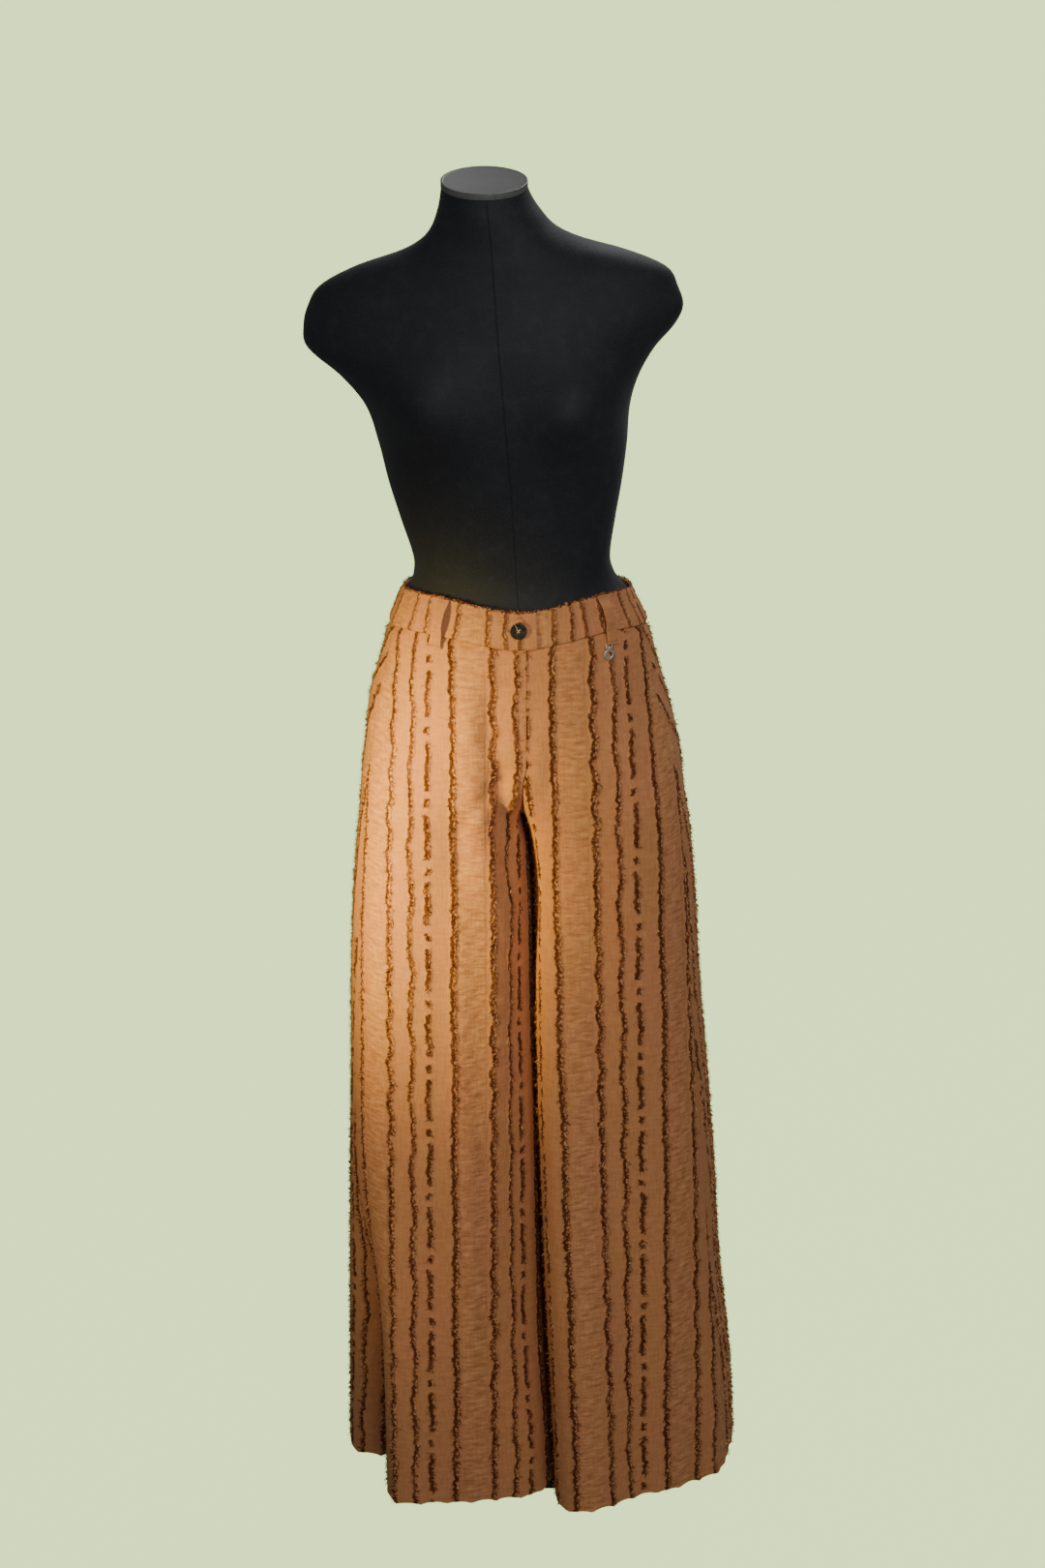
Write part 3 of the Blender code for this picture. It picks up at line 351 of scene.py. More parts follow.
# One row a height of one trouser leg. The reaches are from (centre_x, 0) toward the outer side,
# the inner side, the front and the back; square is the power of the rounded section.
Leg = namedtuple("Leg", "height centre_x outer inner front back front_square inner_square"
                 " back_square grain_x")
LEGS = {
    "right": [
        Leg(0.010, -0.0840, 0.1200, 0.1220, 0.1470, 0.1600, 3.2, 3.4, 2.4, -0.076),
        Leg(0.129, -0.0845, 0.1175, 0.1145, 0.1440, 0.1560, 3.1, 3.5, 2.4, -0.076),
        Leg(0.255, -0.0850, 0.1150, 0.1080, 0.1400, 0.1480, 3.0, 3.7, 2.4, -0.076),
        Leg(0.379, -0.0855, 0.1115, 0.1035, 0.1350, 0.1400, 2.9, 3.9, 2.4, -0.076),
        Leg(0.500, -0.0865, 0.1075, 0.1010, 0.1300, 0.1320, 2.8, 4.1, 2.4, -0.076),
        Leg(0.619, -0.0880, 0.1040, 0.1000, 0.1255, 0.1250, 2.7, 4.3, 2.4, -0.076),
        Leg(0.712, -0.0885, 0.1000, 0.0985, 0.1215, 0.1200, 2.6, 4.5, 2.4, -0.076),
        Leg(0.790, -0.0890, 0.0930, 0.0940, 0.1190, 0.1200, 2.6, 4.5, 2.4, -0.076),
        Leg(0.830, -0.0885, 0.0895, 0.0883, 0.1175, 0.1220, 2.5, 4.5, 2.3, -0.076),
        Leg(0.860, -0.0650, 0.1110, 0.0860, 0.1165, 0.1250, 2.5, 4.5, 2.3, -0.076),
        Leg(0.890, -0.0380, 0.1345, 0.0980, 0.1145, 0.1260, 2.4, 4.0, 2.3, -0.076),
        Leg(0.930, -0.0100, 0.1590, 0.1400, 0.1110, 0.1210, 2.3, 3.0, 2.2, -0.076),
        Leg(0.960, 0.0000, 0.1640, 0.1640, 0.1085, 0.1150, 2.2, 2.2, 2.2, -0.076),
        Leg(1.000, 0.0000, 0.1520, 0.1520, 0.1040, 0.1060, 2.2, 2.2, 2.1, -0.076),
        Leg(1.030, 0.0000, 0.1440, 0.1440, 0.1005, 0.0990, 2.1, 2.1, 2.1, -0.076),
        Leg(1.060, 0.0000, 0.1315, 0.1315, 0.0965, 0.0940, 2.1, 2.1, 2.1, -0.076),
        Leg(1.090, 0.0000, 0.1190, 0.1190, 0.0940, 0.0910, 2.1, 2.1, 2.1, -0.076),
    ],
    "left": [
        Leg(0.010, 0.1470, 0.1025, 0.1010, 0.1230, 0.1600, 1.9, 3.2, 2.4, 0.102),
        Leg(0.129, 0.1430, 0.1000, 0.1050, 0.1230, 0.1560, 1.9, 3.3, 2.4, 0.098),
        Leg(0.255, 0.1360, 0.0925, 0.1050, 0.1230, 0.1480, 2.0, 3.5, 2.4, 0.094),
        Leg(0.379, 0.1280, 0.0920, 0.1015, 0.1220, 0.1400, 2.1, 3.8, 2.4, 0.090),
        Leg(0.500, 0.1190, 0.0910, 0.0975, 0.1200, 0.1320, 2.2, 4.1, 2.4, 0.086),
        Leg(0.619, 0.1090, 0.0900, 0.0905, 0.1180, 0.1250, 2.3, 4.3, 2.4, 0.083),
        Leg(0.712, 0.1010, 0.0920, 0.0855, 0.1170, 0.1200, 2.4, 4.5, 2.4, 0.080),
        Leg(0.790, 0.0940, 0.0915, 0.0843, 0.1170, 0.1200, 2.5, 4.5, 2.4, 0.078),
        Leg(0.830, 0.0885, 0.0905, 0.0883, 0.1175, 0.1220, 2.5, 4.5, 2.3, 0.077),
        Leg(0.860, 0.0650, 0.1105, 0.0860, 0.1165, 0.1250, 2.5, 4.5, 2.3, 0.076),
        Leg(0.890, 0.0380, 0.1340, 0.0980, 0.1145, 0.1260, 2.4, 4.0, 2.3, 0.075),
        Leg(0.930, 0.0100, 0.1525, 0.1400, 0.1110, 0.1210, 2.3, 3.0, 2.2, 0.074),
        Leg(0.960, 0.0000, 0.1540, 0.1540, 0.1085, 0.1150, 2.2, 2.2, 2.2, 0.073),
        Leg(1.000, 0.0000, 0.1425, 0.1425, 0.1040, 0.1060, 2.2, 2.2, 2.1, 0.072),
        Leg(1.030, 0.0000, 0.1340, 0.1340, 0.1005, 0.0990, 2.1, 2.1, 2.1, 0.072),
        Leg(1.060, 0.0000, 0.1195, 0.1195, 0.0965, 0.0940, 2.1, 2.1, 2.1, 0.072),
        Leg(1.090, 0.0000, 0.1100, 0.1100, 0.0940, 0.0910, 2.1, 2.1, 2.1, 0.072),
    ],
}

# One row a fold: heading in degrees (0 outer side, 90 front, 180 inner side, 270 back), width in
# degrees, and how far it pushes the cloth out at its low and its high end.
Fold = namedtuple("Fold", "low high low_heading high_heading width low_push high_push")
FOLDS = {
    "right": [
        Fold(0.000, 0.500, 39, 40, 16, -0.0860, 0.0000),
        Fold(0.000, 0.560, 69, 66, 9, 0.0080, 0.0000),
        Fold(0.000, 0.850, 112, 104, 9, -0.0050, -0.0040),
        Fold(0.000, 0.800, 134, 138, 12, 0.0060, 0.0030),
        Fold(0.740, 1.010, 101, 106, 7, -0.0055, -0.0020),
        Fold(0.700, 1.000, 116, 97, 8, 0.0030, 0.0010),
        Fold(0.000, 0.900, 200, 197, 9, 0.0135, 0.0095),
        Fold(0.000, 0.700, 232, 238, 14, -0.0220, 0.0000),
        Fold(0.000, 0.800, 262, 266, 12, 0.0100, 0.0020),
        Fold(0.000, 0.600, 292, 290, 13, -0.0200, 0.0000),
        Fold(0.000, 0.600, 325, 322, 14, 0.0080, 0.0000),
    ],
    "left": [
        Fold(0.000, 0.780, 119, 128, 17, 0.0610, 0.0020),
        Fold(0.000, 0.720, 64, 60, 11, -0.0050, 0.0000),
        Fold(0.000, 0.620, 44, 42, 10, 0.0045, 0.0000),
        Fold(0.000, 0.560, 16, 20, 10, -0.0040, 0.0000),
        Fold(0.000, 0.900, 204, 201, 14, -0.0060, -0.0045),
        Fold(0.000, 0.700, 236, 240, 13, -0.0240, 0.0000),
        Fold(0.000, 0.800, 264, 266, 12, 0.0080, 0.0020),
        Fold(0.000, 0.640, 296, 292, 15, -0.0260, 0.0000),
        Fold(0.000, 0.600, 328, 322, 13, 0.0070, 0.0000),
    ],
}

# Heading of the side seam by height, in degrees from each leg's outer side toward the front.
Side = namedtuple("Side", "height right left")
SIDE_SEAM = [
    Side(0.010, 34.0, 40.0), Side(0.790, 34.0, 40.0), Side(0.830, 31.0, 36.0),
    Side(0.860, 25.0, 28.5), Side(0.890, 20.5, 23.0), Side(0.930, 16.0, 18.0),
    Side(0.960, 14.5, 16.0), Side(1.000, 12.5, 14.0), Side(1.060, 10.0, 11.0),
]

# Climb of the waist edge by bearing round the body: 0 centre front, plus toward the wearer's left.
Edge = namedtuple("Edge", "bearing rise")
WAIST_EDGE = [
    Edge(-180.0, 0.0030), Edge(-130.0, 0.0005), Edge(-90.0, 0.0050), Edge(-52.0, 0.0098),
    Edge(0.0, 0.0000), Edge(52.0, 0.0122), Edge(90.0, 0.0045), Edge(130.0, -0.0005),
    Edge(180.0, 0.0030),
]

# One row a small crease, from one spot of a panel to another by run and height, with its half
# width and how far it lifts the cloth; minus for a trough.
Crease = namedtuple("Crease", "run_a height_a run_b height_b half_width lift")
CREASES = {
    "front_right": [
        Crease(-0.066, 1.000, -0.054, 0.800, 0.0140, 0.0050),
        Crease(-0.042, 1.005, -0.030, 0.860, 0.0110, -0.0030),
        Crease(-0.034, 0.908, -0.006, 0.745, 0.0145, -0.0085),
        Crease(-0.016, 0.985, -0.012, 0.850, 0.0070, 0.0018),
        Crease(-0.070, 0.955, -0.022, 0.862, 0.0090, 0.0015),
        Crease(-0.105, 0.905, -0.040, 0.846, 0.0100, -0.0012),
        Crease(-0.003, 0.850, 0.000, 0.040, 0.0340, -0.0110),
        Crease(-0.070, 0.900, -0.066, 0.160, 0.0160, 0.0030),
        Crease(-0.142, 0.640, -0.128, 0.330, 0.0140, -0.0016),
        Crease(-0.064, 0.520, -0.058, 0.180, 0.0120, 0.0014),
    ],
    "front_left": [
        Crease(0.030, 0.965, 0.016, 0.868, 0.0090, 0.0016),
        Crease(0.048, 0.930, 0.026, 0.856, 0.0080, -0.0012),
        Crease(0.096, 0.900, 0.050, 0.842, 0.0100, 0.0010),
        Crease(0.082, 0.860, 0.078, 0.220, 0.0240, -0.0022),
        Crease(0.030, 0.840, 0.026, 0.160, 0.0130, 0.0024),
        Crease(0.152, 0.700, 0.170, 0.360, 0.0130, 0.0016),
        Crease(0.120, 0.420, 0.132, 0.110, 0.0120, -0.0012),
        Crease(-0.060, 0.826, -0.060, 0.785, 0.0120, 0.0030),
    ],
    "back_right": [
        Crease(0.045, 0.838, 0.045, 0.792, 0.0100, 0.0034),
        Crease(-0.040, 0.960, -0.014, 0.866, 0.0110, 0.0018),
        Crease(-0.090, 0.930, -0.030, 0.852, 0.0100, -0.0014),
        Crease(-0.120, 0.760, -0.110, 0.420, 0.0140, 0.0016),
        Crease(-0.060, 0.640, -0.052, 0.240, 0.0130, -0.0014),
    ],
    "back_left": [
        Crease(0.042, 0.955, 0.015, 0.868, 0.0110, 0.0018),
        Crease(0.086, 0.925, 0.034, 0.850, 0.0090, -0.0013),
        Crease(0.118, 0.740, 0.112, 0.380, 0.0140, 0.0015),
        Crease(0.058, 0.600, 0.050, 0.210, 0.0120, -0.0014),
    ],
}

LEVELS = np.arange(0.0080, 1.0960, LEVEL_STEP)
HEADINGS = {"front": np.arange(-100.0, 192.5, HEADING_STEP),
            "back": np.arange(168.0, 400.5, HEADING_STEP)}
RUNS = np.arange(-0.6200, 0.6210, RUN_STEP)


def ease(t):
    t = np.clip(t, 0.0, 1.0)
    return t * t * (3.0 - 2.0 * t)


def between(rows, height):
    """Smooth run of every column of a table of sections, one row of the result a height."""
    table = np.array(rows)
    level = table[:, 0]
    height = np.clip(np.atleast_1d(height), level[0], level[-1])
    k = np.clip(np.searchsorted(level, height, side="right") - 1, 0, len(level) - 2)
    low = np.maximum(k - 1, 0)
    high = np.minimum(k + 2, len(level) - 1)
    span = level[k + 1] - level[k]
    t = ((height - level[k]) / span)[:, None]
    slope_a = (table[k + 1] - table[low]) * (span / (level[k + 1] - level[low]))[:, None]
    slope_b = (table[high] - table[k]) * (span / (level[high] - level[k]))[:, None]
    t2 = t * t
    t3 = t2 * t
    return ((2 * t3 - 3 * t2 + 1) * table[k] + (t3 - 2 * t2 + t) * slope_a
            + (3 * t2 - 2 * t3) * table[k + 1] + (t3 - t2) * slope_b)


def leg_reach(leg, heading):
    """Distance of the cloth from the leg's centre: a row a level, a column a heading."""
    row = between(LEGS[leg], LEVELS)
    part = {name: row[:, k:k + 1] for k, name in enumerate(Leg._fields)}
    height = LEVELS[:, None]
    along = np.cos(np.radians(heading))[None, :]
    out = np.sin(np.radians(heading))[None, :]
    side = np.where(along > 0, part["outer"], part["inner"])
    face = np.where(out > 0, part["front"], part["back"])
    square = np.where(along > 0, part["front_square"], part["inner_square"])
    square = np.where(out > 0, square, part["back_square"])
    reach = (np.abs(along / side) ** square + np.abs(out / face) ** square) ** (-1.0 / square)
    beside = ease((np.abs(part["centre_x"]) + reach * along) / SEAM_FADE)
    keep = 1.0 + (beside - 1.0) * ease((height - CROTCH) / CROTCH_BLEND + 1.0)
    for fold in FOLDS[leg]:
        t = (height - fold.low) / (fold.high - fold.low)
        centre = fold.low_heading + (fold.high_heading - fold.low_heading) * t
        push = fold.low_push + (fold.high_push - fold.low_push) * t
        ending = FOLD_QUICK_END if fold.high_push else FOLD_SLOW_END
        push = push * ease((1.0 - t) * ending) * (t >= 0.0)
        if fold.low > 0.0:
            push = push * ease(t * FOLD_START)
        away = ((heading[None, :] - centre + 180.0) % 360.0 - 180.0) / fold.width
        reach = reach + keep * push * np.exp(-away * away)
    return reach


def between_marks(table, marks, across, z):
    """Value of a laid-out table between its levels and its marks, a row a level."""
    a = np.clip((z - LEVELS[0]) / (LEVELS[1] - LEVELS[0]), 0.0, len(LEVELS) - 1.001)
    b = np.clip((across - marks[0]) / (marks[1] - marks[0]), 0.0, len(marks) - 1.001)
    i = a.astype(int)
    j = b.astype(int)
    s = (a - i)[..., None]
    t = (b - j)[..., None]
    return ((table[i, j] * (1 - t) + table[i, j + 1] * t) * (1 - s)
            + (table[i + 1, j] * (1 - t) + table[i + 1, j + 1] * t) * s)


def run_at_zero(run, gap, k):
    """Run where a gap is zero, between column k and the next one."""
    return run[k] + (run[k + 1] - run[k]) * (gap[k] / (gap[k] - gap[k + 1]))


class LegFace:
    """Half of a leg laid out: where each run of cloth lies at each height, and which way is out."""

    def __init__(self, leg, face):
        self.face = face
        heading = HEADINGS[face]
        side = -1.0 if leg == "right" else 1.0
        reach = leg_reach(leg, heading)
        row = between(LEGS[leg], LEVELS)
        x = row[:, 1:2] + side * reach * np.cos(np.radians(heading))
        y = -reach * np.sin(np.radians(heading))
        run = np.zeros_like(x)
        run[:, 1:] = np.cumsum(np.hypot(np.diff(x), np.diff(y)), axis=1)
        start = int(np.argmin(np.abs(heading - (90.0 if face == "front" else 270.0))))
        toward = 1.0 if (leg == "right") == (face == "front") else -1.0
        for level in range(len(LEVELS)):
            gap = x[level] - row[level, -1]
            crossing = np.nonzero(gap[:-1] * gap[1:] <= 0.0)[0]
            k = crossing[np.argmin(np.abs(crossing - start))]
            origin = run_at_zero(run[level], gap, k)
            run[level] = GRAIN_RUN[leg] + toward * (run[level] - origin)
        order = slice(None) if toward > 0 else slice(None, None, -1)
        spots = np.zeros((len(LEVELS), len(RUNS), 3))
        for level in range(len(LEVELS)):
            spots[level, :, 0] = np.interp(RUNS, run[level, order], x[level, order])
            spots[level, :, 1] = np.interp(RUNS, run[level, order], y[level, order])
            spots[level, :, 2] = LEVELS[level]
        self.heading = heading
        self.spots = spots
        self.out = self.outward(spots)
        self.x = x
        self.y = y
        self.run = run
        self.inner = np.array([self.inner_run(level) for level in range(len(LEVELS))])
        seam = between(SIDE_SEAM, LEVELS)[:, 1 if leg == "right" else 2]
        turn = 0.0 if face == "front" else 360.0
        self.outer = np.array([np.interp(turn + seam[level], heading, run[level])
                               for level in range(len(LEVELS))])

    def outward(self, spots):
        across = np.gradient(spots, axis=1)
        up = np.gradient(spots, axis=0)
        normal = np.cross(across, up)
        normal /= np.maximum(np.linalg.norm(normal, axis=2, keepdims=True), 1e-12)
        return normal if self.face == "front" else -normal

    def inner_run(self, level):
        """Run at the inside leg seam, or at the centre seam above the crotch."""
        inside = np.interp(180.0, self.heading, self.run[level])
        if LEVELS[level] <= CROTCH:
            return inside
        x = self.x[level]
        middle = 1.0 if self.face == "front" else -1.0
        k = np.nonzero((x[:-1] <= 0.0) != (x[1:] <= 0.0))[0]
        k = k[self.y[level, k] * middle < 0.02]
        if len(k) == 0:
            return inside
        runs = run_at_zero(self.run[level], x, k)
        return runs[np.argmin(np.abs(runs))]

    def at(self, u, z):
        """Spots and outward directions for arrays of runs and heights."""
        out = between_marks(self.out, RUNS, u, z)
        out /= np.maximum(np.linalg.norm(out, axis=-1, keepdims=True), 1e-9)
        return between_marks(self.spots, RUNS, u, z), out

    def run_at(self, heading, z):
        """Run of cloth at a heading round the leg, for arrays of headings and heights."""
        return between_marks(self.run[..., None], self.heading, heading, z)[..., 0]


FACES = {(leg, face): LegFace(leg, face) for leg in ("right", "left")
         for face in ("front", "back")}


def waist_rise(spot):
    """How far the waist edge climbs above its lowest point at the centre front."""
    bearing = np.degrees(np.arctan2(spot[..., 0], -spot[..., 1]))
    return between(WAIST_EDGE, bearing.ravel())[:, 1].reshape(bearing.shape)


def dash_shows(z, k):
    """Where the dashed line of the k-th repeat is clipped: a dash, a break, a dot, a break."""
    dash = (z / DASH_PERIOD + k * DASH_STAGGER) % 1.0
    return (dash < DASH_SHARE) | ((dash > DOT_SHARES[0]) & (dash < DOT_SHARES[1]))


def stripe_relief(u, z):
    """How far the cloth stands proud at its clipped lines, and how it puckers between them."""
    k = np.floor((u - REPEAT_START) / REPEAT)
    across = u - REPEAT_START - k * REPEAT
    proud = np.zeros_like(u)
    for line in LINES:
        centre = line.offset + line.fringe * RIDGE_ASIDE + line_path(line, z, k, np.sin)
        width = line.half_width + line.fringe * 0.5
        rise = line.proud * np.exp(-((across - centre) / width) ** 2)
        if line.name == "dashes":
            rise = rise * dash_shows(z, k)
        proud = np.maximum(proud, rise)
    strip = ease((across - CRINKLE_STRIP[0]) / 0.006) * ease((CRINKLE_STRIP[1] - across) / 0.006)
    pucker = (np.sin(z * TURN / 0.0230 + 3.0 * np.sin(u * 90.0) + k * 2.0)
              + np.sin(z * TURN / 0.0310 - u * 260.0))
    return proud + strip * pucker * PUCKER_DEPTH


def hem_line(u):
    wave = np.abs(np.sin(math.pi * (u - REPEAT_START - 0.010) / (REPEAT / 4.0)))
    return HEM - HEM_SCALLOP * (1.0 - wave ** 0.6)


def crease_lift(panel, u, z):
    """Lift of the small creases listed for one panel."""
    total = np.zeros_like(u)
    for crease in CREASES[panel]:
        along = np.array([crease.run_b - crease.run_a, crease.height_b - crease.height_a])
        length = np.hypot(*along)
        t = ((u - crease.run_a) * along[0] + (z - crease.height_a) * along[1]) / length ** 2
        away = ((u - crease.run_a) * along[1] - (z - crease.height_a) * along[0]) / length
        away = away + CREASE_WAVER * crease.half_width * np.sin(t * 9.0)
        ends = ease(t / CREASE_ENDS) * ease((1.0 - t) / CREASE_ENDS)
        total += crease.lift * ends * np.exp(-(away / crease.half_width) ** 2)
    return total


def shell(name, outer, inner, cells, uvs, finish):
    """A closed sheet of cloth from its outer and inner points and the triangles over them."""
    count = len(outer)
    edges = np.concatenate([cells[:, [0, 1]], cells[:, [1, 2]], cells[:, [2, 0]]])
    key = np.sort(edges, axis=1)
    _, first, times = np.unique(key, axis=0, return_index=True, return_counts=True)
    rim = edges[first[times == 1]]
    sides = np.concatenate([
        np.stack([rim[:, 1], rim[:, 0], rim[:, 0] + count], axis=1),
        np.stack([rim[:, 1], rim[:, 0] + count, rim[:, 1] + count], axis=1)])
    triangles = np.concatenate([cells, cells[:, ::-1] + count, sides])
    return solid_mesh(name, np.concatenate([outer, inner]), triangles,
                      np.concatenate([uvs, uvs]), finish)


def solid_mesh(name, points, triangles, uvs, finish):
    """A mesh piece at the origin from points, triangles and each point's place on the cloth."""
    mesh = bpy.data.meshes.new(name)
    mesh.vertices.add(len(points))
    mesh.vertices.foreach_set("co", np.ascontiguousarray(points, np.float32).ravel())
    mesh.loops.add(triangles.size)
    mesh.loops.foreach_set("vertex_index", triangles.astype(np.int32).ravel())
    mesh.polygons.add(len(triangles))
    mesh.polygons.foreach_set("loop_start", np.arange(0, triangles.size, 3, dtype=np.int32))
    mesh.update(calc_edges=True)
    if uvs is not None:
        layer = mesh.uv_layers.new(name="cloth")
        layer.data.foreach_set("uv", uvs[triangles.ravel()].astype(np.float32).ravel())
    mesh.polygons.foreach_set("use_smooth", np.ones(len(triangles), bool))
    mesh.set_sharp_from_angle(angle=math.radians(50.0))
    mesh.materials.append(finish)
    piece = bpy.data.objects.new(name, mesh)
    bpy.context.scene.collection.objects.link(piece)
    return piece


def cloth_columns():
    """Runs of the panel's columns: close together at the clipped lines, wider between them."""
    zones = [(0.0015, 0.0145, 0.0017), (0.0145, 0.0275, 0.0040), (0.0275, 0.0385, 0.0017),
             (0.0385, 0.0470, 0.0035), (0.0470, 0.0565, 0.0017), (0.0565, 0.0740, 0.0040),
             (0.0740, 0.0865, 0.0017), (0.0865, 0.1175, 0.0030)]
    found = []
    for k in REPEATS:
        for start, end, step in zones:
            steps = max(1, round((end - start) / step))
            found += [REPEAT_START + k * REPEAT + start + (end - start) * n / steps
                      for n in range(steps)]
    return np.array(sorted(found))


def trimmed_grid(columns, rows, low, high, bottom, top):
    """Runs, heights and triangles of a grid trimmed to a panel's cut edges."""
    u, z = np.meshgrid(columns, rows)
    u = np.clip(u, low(z), high(z))
    z = np.clip(z, bottom(u), top(u))
    u = np.clip(u, low(z), high(z))
    spots = np.round(np.stack([u.ravel(), z.ravel()], axis=1), 6)
    unique, index = np.unique(spots, axis=0, return_inverse=True)
    index = index.reshape(u.shape)
    a, b, c, d = index[:-1, :-1], index[:-1, 1:], index[1:, 1:], index[1:, :-1]
    cells = np.concatenate([np.stack([a, b, c], -1).reshape(-1, 3),
                            np.stack([a, c, d], -1).reshape(-1, 3)])
    real = ((cells[:, 0] != cells[:, 1]) & (cells[:, 1] != cells[:, 2])
            & (cells[:, 0] != cells[:, 2]))
    return unique[:, 0], unique[:, 1], cells[real]


def thread_tufts(name, roots, outs, sides, lengths, tones, rng):
    """Frayed thread ends as one mesh: each is a narrow curved blade of three triangles."""
    count = len(roots)
    width = rng.uniform(*BLADE_WIDTHS, (count, 1))
    lean = rng.uniform(*BLADE_LEANS, (count, 1))
    drop = rng.uniform(*BLADE_DROPS, (count, 1))
    swing = rng.normal(0.0, BLADE_SWING, (count, 1))
    up = np.array([0.0, 0.0, 1.0])
    way = outs * rng.uniform(*BLADE_OUTS, (count, 1)) + sides * lean + up * drop
    way /= np.linalg.norm(way, axis=1, keepdims=True)
    curl = np.cross(way, outs) * swing + up * rng.uniform(*BLADE_CURLS, (count, 1))
    flat = np.cross(way, np.cross(outs, sides) + 0.2)
    flat /= np.maximum(np.linalg.norm(flat, axis=1, keepdims=True), 1e-9)
    length = lengths[:, None]
    base = roots - way * length * 0.08
    mid = roots + way * length * 0.55
    tip = roots + way * length + curl * length * 0.4
    points = np.stack([base - flat * width, base + flat * width, mid - flat * width,
                       mid + flat * width, tip], axis=1).reshape(-1, 3)
    start = (np.arange(count) * 5)[:, None]
    cells = np.concatenate([start + [0, 1, 3], start + [0, 3, 2], start + [2, 3, 4]])
    piece = solid_mesh(name, points, cells, None, THREADS)
    tone = piece.data.attributes.new("tone", "FLOAT", "POINT")
    tone.data.foreach_set("value", np.repeat(tones, 5).astype(np.float32))
    return piece


def line_roots(line, k, z, rng):
    """Runs where frayed threads stand along a line of the k-th repeat."""
    return (REPEAT_START + k * REPEAT + line.offset + line_path(line, z, k, np.sin)
            + rng.uniform(-line.half_width, line.half_width + line.fringe * ROOT_SPREAD, len(z)))


def sideways(surface, u, z, spot):
    """The way along the cloth, toward greater runs, at each spot."""
    side = surface(u + SIDE_STEP, z)[0] - spot
    return side / np.linalg.norm(side, axis=1, keepdims=True)


def leg_panel(leg, face):
    """One panel of the trousers and the frayed threads that stand on it."""
    name = face + "_" + leg
    here = FACES[(leg, face)]
    other = FACES[("left", face)]
    sign = -1.0 if leg == "right" else 1.0
    laps = leg == "right" and face == "front"

    def centre_edge(z):
        edge = np.interp(z, LEVELS, here.inner) + sign * SEAM / 2.0
        if laps:
            edge = edge + FLY_LAP * ease((z - FLY_END) / FLY_GROW)
        return edge

    def seam_edge(z):
        return np.interp(z, LEVELS, here.outer) - sign * SEAM / 2.0

    def surface(u, z):
        spot, out = here.at(u, z)
        if laps:
            past = u - np.interp(z, LEVELS, here.inner)
            over = (past > 0.0) & (z > CROTCH)
            far, far_out = other.at(np.interp(z, LEVELS, other.inner) + past, z)
            spot = np.where(over[..., None], far, spot)
            out = np.where(over[..., None], far_out, out)
        return spot, out

    def top(u):
        spot, _ = here.at(u, np.full_like(u, WAIST_REFERENCE))
        return BAND_SEAM_FRONT - SEAM + waist_rise(spot)

    def lift_at(u, z):
        far_edge = high(z) - FLY_LAP if laps else high(z)
        near = np.minimum(np.minimum(u - low(z), far_edge - u), top(u) - z)
        lift = crease_lift(name, u, z) * ease(near / CREASE_FADE)
        if laps:
            across = (u - FLY_RAMP[0]) / (FLY_RAMP[1] - FLY_RAMP[0])
            lift = lift + ((PANEL_WALL + SEAM) * ease(across)
                           * ease((z - FLY_END + FLY_RISE) / FLY_RISE))
        return lift

    low, high = (seam_edge, centre_edge) if leg == "right" else (centre_edge, seam_edge)
    rows = np.arange(0.0120, 1.0440, ROW_STEP)
    u, z, cells = trimmed_grid(cloth_columns(), rows, low, high, hem_line, top)
    if face == "back":
        cells = cells[:, ::-1]
    spot, out = surface(u, z)
    lift = lift_at(u, z)
    near = np.minimum(np.minimum(u - low(z), high(z) - u), top(u) - z)
    roll = (EDGE_ROLL * np.exp(-(near / EDGE_ROLL_WIDTH) ** 2)
            + WAIST_SINK * np.exp(-((top(u) - z) / WAIST_SINK_WIDTH) ** 2))
    relief = stripe_relief(u, z) * ease(near / 0.003)
    outer = spot + out * (lift + relief - roll)[:, None]
    inner = spot + out * (lift - PANEL_WALL)[:, None]
    panel = shell(name + "_cloth", outer, inner, cells, np.stack([u, z], axis=1), CLOTH)

    rng = np.random.default_rng(11 + len(name) * 7 + (3 if leg == "left" else 0))
    drawn = []
    for k in REPEATS:
        for line in LINES:
            count = int(THREADED_HEIGHT / THREAD_STEP[line.name])
            rz = rng.uniform(*THREAD_HEIGHTS, count)
            ru = line_roots(line, k, rz, rng)
            if line.name == "dashes":
                ru[~dash_shows(rz, k)] = np.inf
            lean = -1.0 if line.name == "zigzag" else 1.0
            leans = np.where(rng.random(count) < LEAN_SHARE, lean, -lean)
            tones = np.where(rng.random(count) < PALE_SHARE[line.name],
                             rng.uniform(*PALE_TONES, count), rng.beta(*DARK_TONES, count))
            drawn.append([ru, rz, leans, tones, rng.uniform(*THREAD_LENGTHS, count)])
    drawn = np.concatenate(drawn, axis=1)
    drawn = drawn[:, np.isfinite(drawn[0])]
    ru, rz = drawn[:2]
    inside = ((ru > low(rz) + THREAD_INSET) & (ru < high(rz) - THREAD_INSET)
              & (rz > hem_line(ru) + THREAD_INSET)
              & (rz < top(np.clip(ru, -0.6, 0.6)) - THREAD_INSET))
    ru, rz, leans, tones, lengths = drawn[:, inside]
    spot, out = surface(ru, rz)
    side = sideways(surface, ru, rz, spot) * leans[:, None]
    root_lift = stripe_relief(ru, rz) + lift_at(ru, rz)
    spot = spot + out * (root_lift - THREAD_SINK)[:, None]
    threads = thread_tufts(name + "_threads", spot, out, side, lengths, tones, rng)
    for piece in (panel, threads):
        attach(piece, STILL)
    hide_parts(name)
    heights = np.arange(HEM, BAND_SEAM_FRONT, 0.01)
    widths = high(heights) - low(heights)
    return panel


